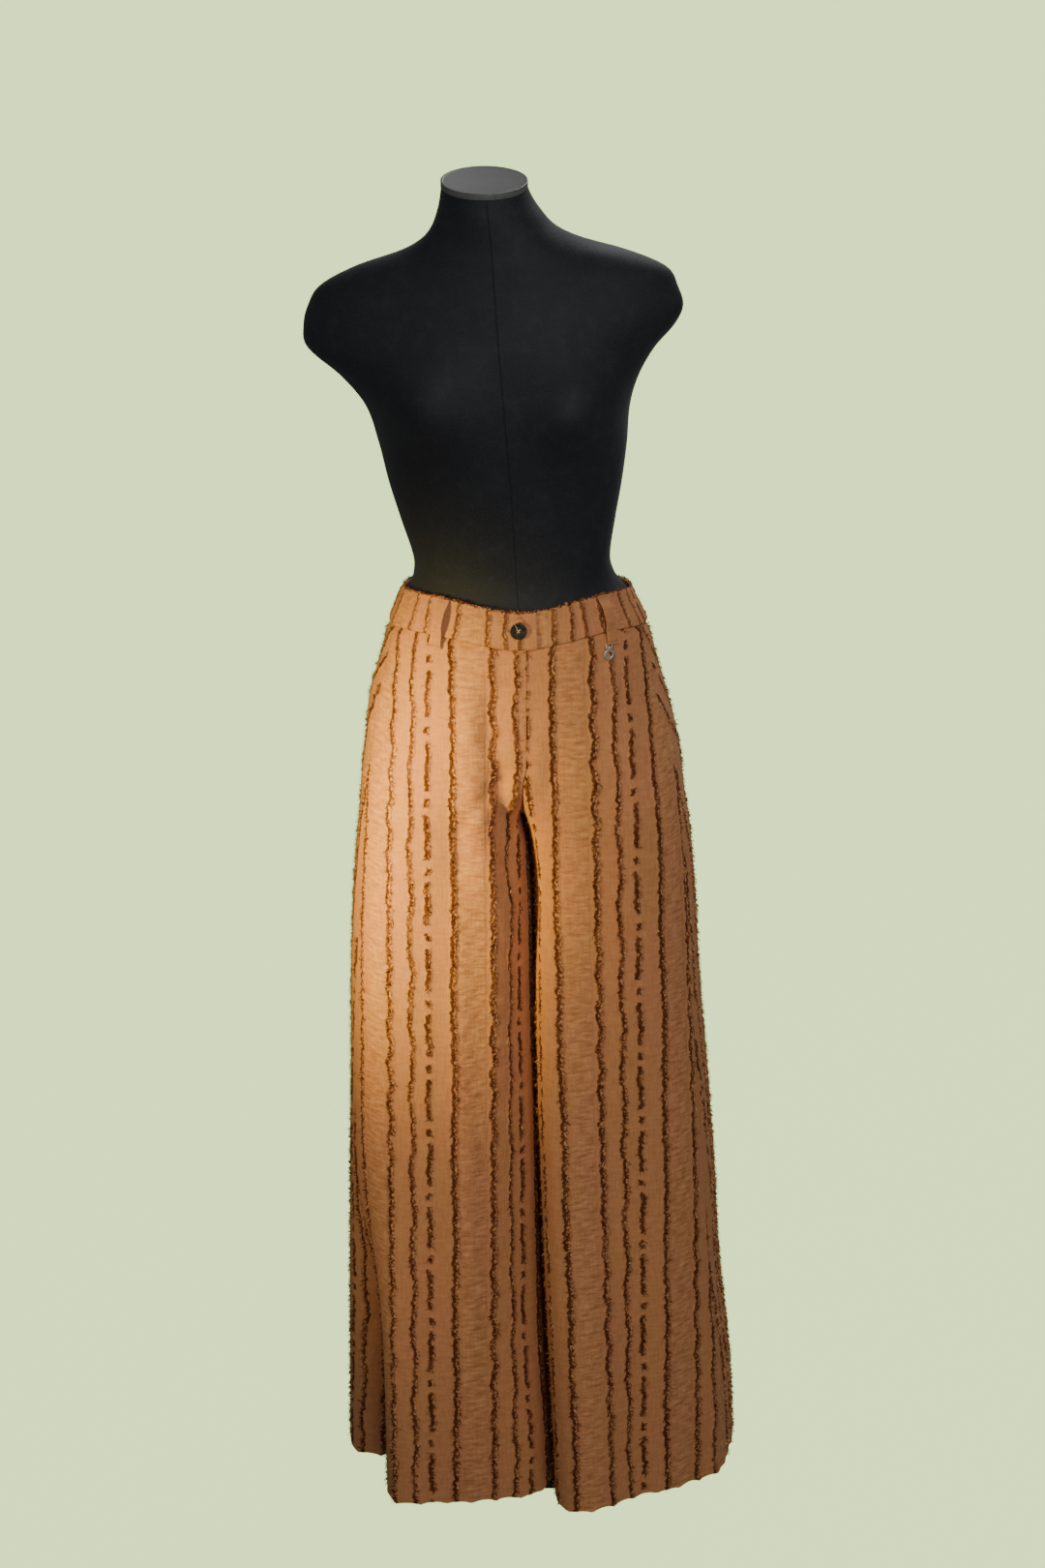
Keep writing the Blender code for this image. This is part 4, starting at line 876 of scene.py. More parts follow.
# Frayed threads: the average way between two along each line, how far they keep from an edge of
# the cloth, how deep their roots sit and how far they spread over the fringe. Most lean one way,
# and some are pale. How far a blade leans, drops, stands out and curls is random between limits.
THREAD_STEP = {"zigzag": 0.0007, "wavy": 0.0011, "dashes": 0.0011, "straight": 0.0008}
THREAD_INSET = 0.0010
THREAD_SINK = 0.0002
THREAD_LENGTHS = (0.0018, 0.0060)
THREAD_HEIGHTS = (0.018, 1.040)
THREADED_HEIGHT = 1.030
ROOT_SPREAD = 0.8
SIDE_STEP = 0.0020
LEAN_SHARE = 0.62
PALE_SHARE = {"zigzag": 0.38, "wavy": 0.20, "dashes": 0.20, "straight": 0.20}
PALE_TONES = (0.75, 1.0)
DARK_TONES = (1.1, 3.0)
BLADE_WIDTHS = (0.00028, 0.00062)
BLADE_LEANS = (0.35, 1.10)
BLADE_DROPS = (-0.70, 0.35)
BLADE_OUTS = (0.35, 0.95)
BLADE_CURLS = (-0.60, 0.20)
BLADE_SWING = 0.35
for leg in ("right", "left"):
    for face in ("front", "back"):
        leg_panel(leg, face)

# Waistband
# A shaped band of the same cloth, doubled and 40 mm deep, sewn along the top of the panels. Its
# wearer's right end laps over the left one, and its top edge is frayed all the way round.
BAND_HEIGHT = 0.0400
BAND_MIDDLE = 1.0480
BAND_WALL = 0.0030
BAND_PROUD = 0.0012
BAND_LAP = 0.0113
BAND_UNDERLAP = -0.0240
BAND_RAMP = (-0.0520, -0.0280)
BAND_SPREAD = 1.28
BAND_SHIFT = {"right": 0.0140, "left": 0.0330}
BAND_COLUMN = 0.0017
BAND_ROWS = 14
TOP_FRAYS = 1700
TOP_FRAY_LENGTHS = (0.0018, 0.0052)
BAND_FRAY_LENGTHS = (0.0016, 0.0042)
BAND_CLOTH = striped_cloth("striped_cloth_band", 0.75)


def half_round(leg):
    """Run from the centre front to the centre back round the waist, a value a level."""
    face = FACES[(leg, "front")]
    found = np.full(len(LEVELS), np.nan)
    for level in np.nonzero(LEVELS > 0.95)[0]:
        x = face.x[level]
        k = np.nonzero(((x[:-1] > 0.0) != (x[1:] > 0.0)) & (face.y[level, :-1] > 0.0))[0][0]
        found[level] = run_at_zero(face.run[level], x, k)
    first = found[np.isfinite(found)][0]
    return np.where(np.isfinite(found), found, first)


HALF_ROUND = {leg: half_round(leg) for leg in ("right", "left")}


def half_at(leg, z):
    return np.interp(z, LEVELS, HALF_ROUND[leg])


def band_at(leg, u, z):
    """Spots and outward directions on the waist, with runs kept upright round the body."""
    run = u * half_at(leg, z) / half_at(leg, BAND_MIDDLE)
    return FACES[(leg, "front")].at(run, z)


def band_rise(leg, u):
    spot, _ = band_at(leg, u, np.full_like(u, WAIST_REFERENCE))
    return waist_rise(spot)


def band_lift(leg, u):
    """How far the band stands off the panels: the lapping end rides over the other one."""
    if leg == "left":
        return np.full_like(u, BAND_PROUD)
    across = (u - BAND_RAMP[0]) / (BAND_RAMP[1] - BAND_RAMP[0])
    return BAND_PROUD + (BAND_WALL + SEAM) * ease(across)


def strip_profile(height, wall, rows, turns=5):
    """Loop round a doubled strip: up the outside, over the fold, down the inside and back."""
    half = wall / 2.0
    loop = [(half + (height - wall) * n / rows, 0.0) for n in range(rows + 1)]
    loop += [(height - half + half * math.sin(math.pi * n / turns),
              half - half * math.cos(math.pi * n / turns)) for n in range(1, turns)]
    loop += [(half + (height - wall) * n / 5.0, wall) for n in range(5, -1, -1)]
    loop += [(half - half * math.sin(math.pi * n / turns),
              half + half * math.cos(math.pi * n / turns)) for n in range(1, turns)]
    return np.array(loop)


def tube_cells(stations, around):
    """Triangles over a closed loop carried along stations, with a fan over each end."""
    cells = []
    for station in range(stations - 1):
        a = station * around + np.arange(around)
        b = station * around + (np.arange(around) + 1) % around
        cells += [np.stack([a, b, b + around], 1), np.stack([a, b + around, a + around], 1)]
    first = stations * around
    a = np.arange(around)
    b = (a + 1) % around
    last = (stations - 1) * around
    cells.append(np.stack([b, a, np.full(around, first)], 1))
    cells.append(np.stack([a + last, b + last, np.full(around, first + 1)], 1))
    return np.concatenate(cells)


def outward_cells(points, cells):
    """The same triangles, turned over if they enclose a negative volume."""
    corner = points[cells]
    volume = np.einsum("ij,ij->", corner[:, 0], np.cross(corner[:, 1], corner[:, 2]))
    return cells if volume > 0.0 else cells[:, ::-1]


def doubled_strip(name, points, run, z, finish):
    """A folded strip from the points, runs and heights of its profile at each station."""
    closed = np.concatenate([points.reshape(-1, 3), points[[0, -1]].mean(axis=1)])
    uvs = np.stack([run.ravel(), z.ravel()], axis=1)
    uvs = np.concatenate([uvs, uvs[[0, -1]]])
    cells = outward_cells(closed, tube_cells(*points.shape[:2]))
    return solid_mesh(name, closed, cells, uvs, finish)


def band_half(leg):
    """Half of the waistband from the front end to the centre back, with its frayed top edge."""
    name = "waistband_" + leg
    sign = -1.0 if leg == "right" else 1.0
    back_end = half_at(leg, BAND_MIDDLE) - sign * SEAM / 2.0
    ends = sorted([back_end, BAND_LAP if leg == "right" else BAND_UNDERLAP])
    stations = int((ends[1] - ends[0]) / BAND_COLUMN)
    profile = strip_profile(BAND_HEIGHT, BAND_WALL, BAND_ROWS)
    u = np.repeat(np.linspace(ends[0], ends[1], stations)[:, None], len(profile), axis=1)
    up = np.broadcast_to(profile[:, 0], u.shape)
    depth = np.broadcast_to(profile[:, 1], u.shape)
    z = BAND_SEAM_FRONT + band_rise(leg, u) + up
    spot, out = band_at(leg, u, z)
    run = u * BAND_SPREAD + BAND_SHIFT[leg]
    relief = stripe_relief(run, z) * (depth < 1e-6) * ease((BAND_HEIGHT - up) / 0.004)
    wavy = (np.sin(u * 95.0) * 0.0003 + np.sin(u * 41.0 + 1.0) * 0.0004) * ease(up / 0.03)
    if leg == "right":
        wavy = wavy * ease((0.004 - u) / 0.02)
    points = spot + out * (band_lift(leg, u) + relief + wavy - depth)[..., None]
    band = doubled_strip(name + "_cloth", points, run, z, BAND_CLOTH)

    rng = np.random.default_rng(41 if leg == "right" else 43)
    ru = rng.uniform(ends[0] + THREAD_INSET, ends[1] - THREAD_INSET, TOP_FRAYS)
    clipped = (ru * BAND_SPREAD + BAND_SHIFT[leg] - REPEAT_START) % REPEAT
    near = np.min(np.abs(clipped[:, None] - np.array([line.offset for line in LINES])), axis=1)
    ru = ru[(near < 0.004) | (rng.random(TOP_FRAYS) < 0.35)]
    rz = BAND_SEAM_FRONT + band_rise(leg, ru) + BAND_HEIGHT - rng.uniform(0.0001, 0.0015, len(ru))
    edge_u = [ru]
    edge_z = [rz]
    for k in range(-8, 9):
        for line in LINES:
            steps = int(BAND_HEIGHT / THREAD_STEP[line.name])
            zed = BAND_SEAM_FRONT + rng.uniform(0.002, BAND_HEIGHT - 0.002, steps)
            us = (line_roots(line, k, zed, rng) - BAND_SHIFT[leg]) / BAND_SPREAD
            inside = (us > ends[0] + THREAD_INSET) & (us < ends[1] - THREAD_INSET)
            edge_u.append(us[inside])
            edge_z.append(zed[inside] + band_rise(leg, us[inside]))
    top_count = len(ru)
    ru = np.concatenate(edge_u)
    rz = np.concatenate(edge_z)
    spot, out = band_at(leg, ru, rz)
    side = sideways(lambda u, z: band_at(leg, u, z), ru, rz, spot)
    side *= np.where(rng.random(len(ru)) < 0.5, 1.0, -1.0)[:, None]
    lift = band_lift(leg, ru) + 0.0003
    lift[:top_count] -= rng.uniform(0.0, 0.0022, top_count)
    out_way = out.copy()
    out_way[:top_count] = out[:top_count] * 0.4 + np.array([0.0, 0.0, 1.3])
    lengths = rng.uniform(*BAND_FRAY_LENGTHS, len(ru))
    lengths[:top_count] = rng.uniform(*TOP_FRAY_LENGTHS, top_count)
    tones = rng.beta(1.4, 1.6, len(ru))
    threads = thread_tufts(name + "_threads", spot + out * lift[:, None], out_way, side,
                           lengths, tones, rng)
    for piece in (band, threads):
        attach(piece, STILL)
    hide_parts(name)
    float(ends[1] - ends[0])


for leg in ("right", "left"):
    band_half(leg)

# Belt loops
# Five narrow strips of the cloth, folded along both sides. Each is tacked down below the seam of
# the band and again at its top edge, and bows off the band between the two.
LOOP_HALF = 0.0072
LOOP_WALL = 0.0020
LOOP_BOW = 0.0024
LOOP_SLACK = 0.0036
LOOP_BELOW = 0.0130
LOOP_LENGTH = LOOP_BELOW + BAND_HEIGHT - 0.0010
LOOP_TILT = 0.0012
LOOP_STATIONS = 30
LOOP_PRESS = 0.0005
LOOP_TACKED = (0.06, 0.95)
LOOP_SLACK_ENDS = (0.24, 0.97)
LOOP_GROOVE = 0.00035
LOOP_PLAIN_RUN = REPEAT_START + 0.0655
CHARM_RUN = 0.0985
CENTRE_BACK = float(half_at("right", BAND_MIDDLE))
Loop = namedtuple("Loop", "node leg run tilt")
LOOPS = [
    Loop("belt_loop_front_right", "right", -0.0935, 1.0),
    Loop("belt_loop_front_left", "left", CHARM_RUN, -1.0),
    Loop("belt_loop_side_right", "right", -0.2350, 0.4),
    Loop("belt_loop_side_left", "left", 0.2350, -0.4),
    Loop("belt_loop_centre_back", "right", CENTRE_BACK, 0.0),
]


def belt_loop(loop):
    profile = strip_profile(2.0 * LOOP_HALF, LOOP_WALL, 8)
    base = BAND_SEAM_FRONT + band_rise(loop.leg, np.array([loop.run]))[0]
    part = np.repeat(np.linspace(0.0, 1.0, LOOP_STATIONS)[:, None], len(profile), axis=1)
    across = np.broadcast_to(profile[:, 0], part.shape) - LOOP_HALF
    depth = np.broadcast_to(profile[:, 1], part.shape)
    bow = np.sin(math.pi * part)
    narrow = 1.0 - 0.05 * bow
    u = loop.run + across * narrow
    z = base - LOOP_BELOW + LOOP_LENGTH * part
    spot, out = band_at(loop.leg, u, z)
    lift = BAND_PROUD + SEAM + LOOP_WALL + bow * (LOOP_BOW
                                                  + loop.tilt * LOOP_TILT * across / LOOP_HALF)
    lift = lift + (LOOP_SLACK * ease((part - LOOP_SLACK_ENDS[0]) / 0.24)
                   * ease((LOOP_SLACK_ENDS[1] - part) / 0.24))
    press = LOOP_PRESS * sum(np.exp(-((part - tacked) / 0.03) ** 2) for tacked in LOOP_TACKED)
    edge = LOOP_GROOVE * np.exp(-((np.abs(across) - LOOP_HALF * 0.80) / 0.0008) ** 2)
    lift = lift - (press + edge) * (depth < 1e-6)
    points = spot + out * (lift - depth)[..., None]
    strip = doubled_strip(loop.node + "_cloth", points, LOOP_PLAIN_RUN + across, z, CLOTH)
    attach(strip, STILL)
    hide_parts(loop.node)
    "waistband_" + loop.leg + "_cloth"


for loop in LOOPS:
    belt_loop(loop)

# Button
# A polished near-black disc with a raised rim and four holes, sewn with caramel thread on the
# lapping end of the band, at the front end of its stitched buttonhole.
BUTTON_X = -0.0070
BUTTON_HEIGHT = 1.0440
BUTTON_RADIUS = 0.0088
BUTTON_THICK = 0.0034
BUTTON_RIM = 0.0018
BUTTON_SLOPE = 0.0008
BUTTON_FLOOR = 0.0030
BUTTON_DISH = 0.0011
BUTTON_SOFT = 0.00035
BUTTON_HOLE = 0.0009
BUTTON_HOLES_OUT = 0.0023
THREAD_RADIUS = 0.00026
BUTTONHOLE_LENGTH = 0.0195
BUTTONHOLE_STITCHES = 26
BUTTONHOLE_LIPS = ((-0.0015, -0.0003), (0.0003, 0.0015))
BUTTONHOLE_THREAD = 0.00034


def only(piece):
    """Makes a piece the only selected and active one."""
    bpy.ops.object.select_all(action="DESELECT")
    piece.select_set(True)
    bpy.context.view_layer.objects.active = piece


def cylinder(vertices, radius, depth, spot=(0.0, 0.0, 0.0)):
    """A new upright cylinder round a spot, the only selected piece."""
    bpy.ops.mesh.primitive_cylinder_add(vertices=vertices, radius=radius, depth=depth,
                                        location=spot)
    return bpy.context.object


def cover(piece, finish):
    piece.data.materials.clear()
    piece.data.materials.append(finish)


def apply_place(piece):
    only(piece)
    bpy.ops.object.transform_apply(location=True, rotation=True, scale=True)


def apply_modifiers(piece):
    only(piece)
    for modifier in list(piece.modifiers):
        bpy.ops.object.modifier_apply(modifier=modifier.name)


def soften(piece, width, segments=3, angle=35.0):
    """Rounds the edges of a hard piece and smooths its shading."""
    bevel = piece.modifiers.new("soft_edges", "BEVEL")
    bevel.width = width
    bevel.segments = segments
    bevel.limit_method = "ANGLE"
    bevel.angle_limit = math.radians(angle)
    apply_modifiers(piece)
    bpy.ops.object.shade_smooth_by_angle(angle=math.radians(angle))


def pick_faces(piece, wanted):
    """Selects, in edit mode, the faces that a test of centre and normal wants."""
    bpy.ops.object.mode_set(mode="EDIT")
    bpy.ops.mesh.select_mode(type="FACE")
    bpy.ops.mesh.select_all(action="DESELECT")
    work = bmesh.from_edit_mesh(piece.data)
    for face in work.faces:
        face.select = wanted(face.calc_center_median(), face.normal)
    bmesh.update_edit_mesh(piece.data)


def merge_into(piece, others):
    only(piece)
    for other in others:
        other.select_set(True)
    bpy.ops.object.join()


def settle(piece, spot, forward):
    """Turns a piece made about Z so that Z points along forward, X level, and moves it there."""
    level = Vector((0.0, 0.0, 1.0)).cross(forward).normalized()
    up = forward.cross(level)
    turned = Matrix((level, up, forward)).transposed().to_4x4()
    turned.translation = spot
    piece.data.transform(turned)
    piece.data.update()


def polished_horn():
    finish = Finish("polished_horn", 0.20, Coat_Weight=0.6, Coat_Roughness=0.08,
                    Specular_IOR_Level=0.5)
    place = finish.own_place()
    cloudy = finish.noise(place, 190.0, 190.0, 420.0, detail=3.0, roughness=0.6)
    colour = finish.mix(finish.fade(cloudy, 0.42, 0.72), (0.012, 0.010, 0.009),
                        (0.060, 0.045, 0.034))
    scratches = finish.noise(place, 900.0, 2600.0, 2600.0)
    return finish.surface(Base_Color=colour, Roughness=scratches * 0.18 + 0.14,
                          Normal=finish.bump(scratches, 0.0002, 0.12))


def sewing_thread(name, colour, pale):
    finish = Finish(name, 0.62, Sheen_Weight=0.3, Specular_IOR_Level=0.3)
    place = finish.own_place()
    ply = finish.noise(place, 2600.0)
    return finish.surface(Base_Color=finish.mix(finish.fade(ply, 0.35, 0.65), colour, pale),
                          Normal=finish.bump(ply, 0.0002, 0.7))


HORN = polished_horn()
CARAMEL_THREAD = sewing_thread("caramel_thread", (0.46, 0.30, 0.18), (0.80, 0.62, 0.44))
TAN_THREAD = sewing_thread("tan_thread", (0.22, 0.10, 0.045), (0.40, 0.21, 0.11))


def stitch(start, end, radius):
    """A thread between two points as a slim rod with drawn-in ends."""
    start = Vector(start)
    end = Vector(end)
    along = end - start
    rod = cylinder(8, radius, along.length, (start + end) / 2.0)
    rod.rotation_mode = "QUATERNION"
    rod.rotation_quaternion = along.to_track_quat("Z", "Y")
    apply_place(rod)
    pick_faces(rod, lambda centre, normal: abs(normal.dot(along.normalized())) > 0.9)
    bpy.ops.mesh.inset(thickness=radius * 0.45, depth=radius * 0.5)
    bpy.ops.object.mode_set(mode="OBJECT")
    return rod


button_spot, button_out = band_at("right", np.array([BUTTON_X]), np.array([BUTTON_HEIGHT]))
button_out = Vector(button_out[0])
button_spot = Vector(button_spot[0]) + button_out * (BAND_PROUD + BAND_WALL + SEAM + SEAM)
button = cylinder(64, BUTTON_RADIUS, BUTTON_THICK, (0.0, 0.0, BUTTON_THICK / 2.0))
button.name = "horn_button"
apply_place(button)
pick_faces(button, lambda centre, normal: normal.z > 0.9)
bpy.ops.mesh.inset(thickness=BUTTON_RIM)
bpy.ops.mesh.inset(thickness=BUTTON_SLOPE, depth=-BUTTON_DISH)
bpy.ops.mesh.inset(thickness=BUTTON_FLOOR)
bpy.ops.object.mode_set(mode="OBJECT")
holes = [Vector((BUTTON_HOLES_OUT * math.cos(TURN * (n + 0.5) / 4.0),
                 BUTTON_HOLES_OUT * math.sin(TURN * (n + 0.5) / 4.0), 0.0)) for n in range(4)]
for hole in holes:
    drill = cylinder(20, BUTTON_HOLE, 3.0 * BUTTON_THICK, hole)
    apply_place(drill)
    cut = button.modifiers.new("thread_hole", "BOOLEAN")
    cut.operation = "DIFFERENCE"
    cut.solver = "EXACT"
    cut.object = drill
    apply_modifiers(button)
    bpy.data.objects.remove(drill, do_unlink=True)
soften(button, BUTTON_SOFT)
settle(button, button_spot, button_out)
cover(button, HORN)
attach(button, STILL)
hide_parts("button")

up = Vector((0.0, 0.0, 1.0))
threads = []
floor_of_dish = BUTTON_THICK - BUTTON_DISH
for first, last in ((0, 2), (1, 3)):
    lean = up.cross(holes[first]).normalized() * 0.0003
    rise = up * (floor_of_dish + 0.0001 + 0.0003 * first)
    for shift in (rise - lean, rise + lean):
        threads.append(stitch(holes[first] + shift, holes[last] + shift, THREAD_RADIUS))
for hole in holes:
    threads.append(stitch(hole - up * 0.0012, hole + up * floor_of_dish, THREAD_RADIUS * 1.8))
threads.append(stitch(Vector((0.0006, -0.0014, floor_of_dish + 0.0009)),
                      Vector((-0.0050, 0.0096, BUTTON_THICK + 0.0004)), THREAD_RADIUS * 0.8))
button_thread = threads[0]
merge_into(button_thread, threads[1:])
button_thread.name = "button_thread"
bpy.ops.object.shade_smooth_by_angle(angle=math.radians(50.0))
settle(button_thread, button_spot, button_out)
cover(button_thread, CARAMEL_THREAD)
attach(button_thread, STILL)

stitches = []
for n in range(BUTTONHOLE_STITCHES):
    run = BUTTON_X + 0.0030 - BUTTONHOLE_LENGTH * n / (BUTTONHOLE_STITCHES - 1)
    for low, high in BUTTONHOLE_LIPS:
        ends, ways = band_at("right", np.array([run, run]),
                             np.array([BUTTON_HEIGHT + low, BUTTON_HEIGHT + high]))
        lift = band_lift("right", np.array([run]))[0] + 0.0003
        stitches.append(stitch(*(ends + ways * lift), BUTTONHOLE_THREAD))
buttonhole = stitches[0]
merge_into(buttonhole, stitches[1:])
buttonhole.name = "buttonhole_stitches"
cover(buttonhole, TAN_THREAD)
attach(buttonhole, STILL)

# Bar tacks
# Short rows of close stitches that hold each belt loop down, below the band and at its top edge.
TACK_HEIGHTS = (0.0028, LOOP_LENGTH - 0.0024)
TACK_STITCHES = 9
TACK_THREAD = 0.00024


def bar_tacks(loop):
    made = []
    base = BAND_SEAM_FRONT + band_rise(loop.leg, np.array([loop.run]))[0] - LOOP_BELOW
    for up in TACK_HEIGHTS:
        part = up / LOOP_LENGTH
        lift = (BAND_PROUD + SEAM + LOOP_WALL + LOOP_BOW * math.sin(math.pi * part) - 0.0002)
        for n in range(TACK_STITCHES):
            centre = loop.run + (n - (TACK_STITCHES - 1) / 2.0) * (1.7 * LOOP_HALF / TACK_STITCHES)
            ends, ways = band_at(loop.leg, np.array([centre - 0.0004, centre + 0.0004]),
                                 np.array([base + up - 0.0007, base + up + 0.0007]))
            made.append(stitch(*(ends + ways * lift), TACK_THREAD))
    merge_into(made[0], made[1:])
    made[0].name = loop.node + "_tacks"
    cover(made[0], TAN_THREAD)
    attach(made[0], STILL)


for loop in LOOPS:
    bar_tacks(loop)

# Ring charm
# A plain polished ring on a small eye, which swings on a bar fixed at the foot of the wearer's
# left front loop. The ring turns with the hinge; the bar and its two posts stay.
CHARM_RADIUS = 0.0064
CHARM_HOLE = 0.0034
CHARM_THICK = 0.0016
CHARM_EYE = 0.0018
CHARM_EYE_HOLE = 0.0011
CHARM_EYE_LENGTH = 0.0030
CHARM_SINK = 0.0006
CHARM_BAR = 0.0008
CHARM_BAR_LENGTH = 0.0090
CHARM_POST = 0.0007
CHARM_POST_LENGTH = 0.0042
CHARM_POST_X = 0.0034
CHARM_SOFT = 0.00050
CHARM_EYE_SOFT = 0.00020
CHARM_BAR_SOFT = 0.00025
CHARM_POST_SOFT = 0.00015
hinge = frame["joints"][0]
hinge_spot = Vector(hinge["pos_m"])
hinge_out = Vector((0.0, 0.0, 1.0)).cross(Vector(hinge["axis"])).normalized()


def bright_silver():
    finish = Finish("bright_silver", 0.20, 1.0)
    place = finish.own_place()
    rubbed = finish.noise(place, 700.0, detail=3.0, roughness=0.6)
    colour = finish.mix(finish.fade(rubbed, 0.35, 0.75), (0.80, 0.79, 0.76), (0.97, 0.96, 0.94))
    return finish.surface(Base_Color=colour, Roughness=rubbed * 0.24 + 0.24,
                          Normal=finish.bump(rubbed, 0.0002, 0.10))


SILVER = bright_silver()


def pierced_ring(radius, hole, thick, soft):
    """A flat ring: a disc inset on both faces, the middle opened and bridged, edges rounded."""
    ring = cylinder(64, radius, thick)
    pick_faces(ring, lambda centre, normal: abs(normal.z) > 0.9)
    bpy.ops.mesh.inset(thickness=radius - hole)
    bpy.ops.mesh.bridge_edge_loops()
    bpy.ops.object.mode_set(mode="OBJECT")
    soften(ring, soft, 4, 30.0)
    return ring


charm = pierced_ring(CHARM_RADIUS, CHARM_HOLE, CHARM_THICK, CHARM_SOFT)
charm.location = (0.0, CHARM_SINK - CHARM_RADIUS - CHARM_EYE, 0.0)
apply_place(charm)
eye = pierced_ring(CHARM_EYE, CHARM_EYE_HOLE, CHARM_EYE_LENGTH, CHARM_EYE_SOFT)
eye.rotation_euler = (0.0, TURN / 4.0, 0.0)
apply_place(eye)
merge_into(charm, [eye])
charm.name = "silver_ring_charm"
settle(charm, hinge_spot, hinge_out)
cover(charm, SILVER)
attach(charm, "charm")
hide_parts("ring_charm")

bar = cylinder(24, CHARM_BAR, CHARM_BAR_LENGTH)
bar.rotation_euler = (0.0, TURN / 4.0, 0.0)
apply_place(bar)
soften(bar, CHARM_BAR_SOFT)
posts = []
for side in (-1.0, 1.0):
    post = cylinder(20, CHARM_POST, CHARM_POST_LENGTH,
                    (side * CHARM_POST_X, CHARM_POST_LENGTH / 2.0, 0.0))
    post.rotation_euler = (TURN / 4.0, 0.0, 0.0)
    apply_place(post)
    soften(post, CHARM_POST_SOFT)
    posts.append(post)
merge_into(bar, posts)
bar.name = "silver_charm_bar"
settle(bar, hinge_spot, hinge_out)
cover(bar, SILVER)
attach(bar, STILL)
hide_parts("charm_bar")

# Dress form
# A padded limbless body under one smooth black jersey cover, with a seam down its front and back.
# Its hips fill the inside of the waistband, so that the trousers rest on it.
Torso = namedtuple("Torso", "height centre_x half_width front back square")
TORSO = [
    Torso(0.960, -0.0048, 0.1530, 0.1040, 0.1105, 2.2),
    Torso(1.030, -0.0050, 0.1335, 0.0955, 0.0945, 2.1),
    Torso(1.060, -0.0060, 0.1190, 0.0890, 0.0860, 2.1),
    Torso(1.080, -0.0090, 0.1095, 0.0850, 0.0805, 2.1),
    Torso(1.100, -0.0115, 0.1065, 0.0830, 0.0780, 2.1),
    Torso(1.142, -0.0155, 0.1155, 0.0860, 0.0790, 2.1),
    Torso(1.185, -0.0185, 0.1255, 0.0915, 0.0850, 2.1),
    Torso(1.227, -0.0210, 0.1330, 0.0960, 0.0930, 2.1),
    Torso(1.269, -0.0265, 0.1415, 0.0980, 0.1000, 2.1),
    Torso(1.300, -0.0350, 0.1590, 0.0960, 0.1040, 2.0),
    Torso(1.330, -0.0440, 0.1850, 0.0910, 0.1050, 1.9),
    Torso(1.353, -0.0355, 0.1965, 0.0850, 0.1020, 1.8),
    Torso(1.373, -0.0285, 0.1985, 0.0780, 0.0970, 1.8),
    Torso(1.394, -0.0250, 0.1890, 0.0700, 0.0890, 1.8),
    Torso(1.414, -0.0125, 0.1645, 0.0600, 0.0790, 1.8),
    Torso(1.430, -0.0080, 0.1220, 0.0530, 0.0700, 1.8),
    Torso(1.442, -0.0200, 0.0880, 0.0500, 0.0640, 1.9),
    Torso(1.455, -0.0295, 0.0670, 0.0490, 0.0580, 2.0),
    Torso(1.475, -0.0355, 0.0535, 0.0490, 0.0500, 2.0),
    Torso(1.488, -0.0385, 0.0480, 0.0480, 0.0465, 2.0),
    Torso(1.498, -0.0400, 0.0453, 0.0470, 0.0440, 2.0),
]
HIP_MERGE = 1.0500
WAIST_MERGE = 1.0800
BAND_FOOT = 1.0240
BAND_FOOT_RAMP = 0.0140
HIP_CLEAR = 0.0044
BAND_CLEAR = 0.0030
BUST_HEIGHT = 1.278
BUST_SPREAD = 0.048
BUST_RISE = 0.030
BUST_XS = (-0.105, 0.062)
NECK_TILT = math.radians(10.0)
NECK_FOOT = 1.4420
FORM_AROUND = 192
FORM_LEVEL = 0.0045
FRONT_SEAM_XS = (0.001, -0.013, -0.038)


def black_jersey():
    """Fine black jersey with a soft bloom at grazing light, and a stitched centre seam."""
    finish = Finish("black_jersey", 0.72, Sheen_Weight=0.16, Sheen_Roughness=0.35,
                    Sheen_Tint=(0.55, 0.57, 0.62, 1.0), Specular_IOR_Level=0.30)
    place = finish.own_place()
    knit = finish.noise(place, 1500.0, 1500.0, 700.0, roughness=0.6)
    pile = finish.noise(place, 60.0, detail=3.0, roughness=0.55)
    worn = finish.noise(place, 7.0)
    seam = 1.0 - finish.fade(abs(finish.cloth_place(0)), 0.0003, 0.0014)
    colour = finish.mix(finish.fade(knit, 0.35, 0.70), (0.0076, 0.0082, 0.0110),
                        (0.0184, 0.0196, 0.0254))
    colour = finish.mix(finish.fade(pile, 0.45, 0.80) * 0.35, colour, (0.029, 0.031, 0.037))
    colour = finish.mix(seam * 0.4, colour, (0.0040, 0.0040, 0.0045))
    rough = finish.bump(knit, 0.0003, 0.50)
    rough = finish.bump(seam * -1.0 + pile * 0.12, 0.0010, 0.60, rough)
    return finish.surface(Base_Color=colour, Roughness=finish.fade(worn, 0.3, 0.7, 0.66, 0.80),
                          Normal=rough)


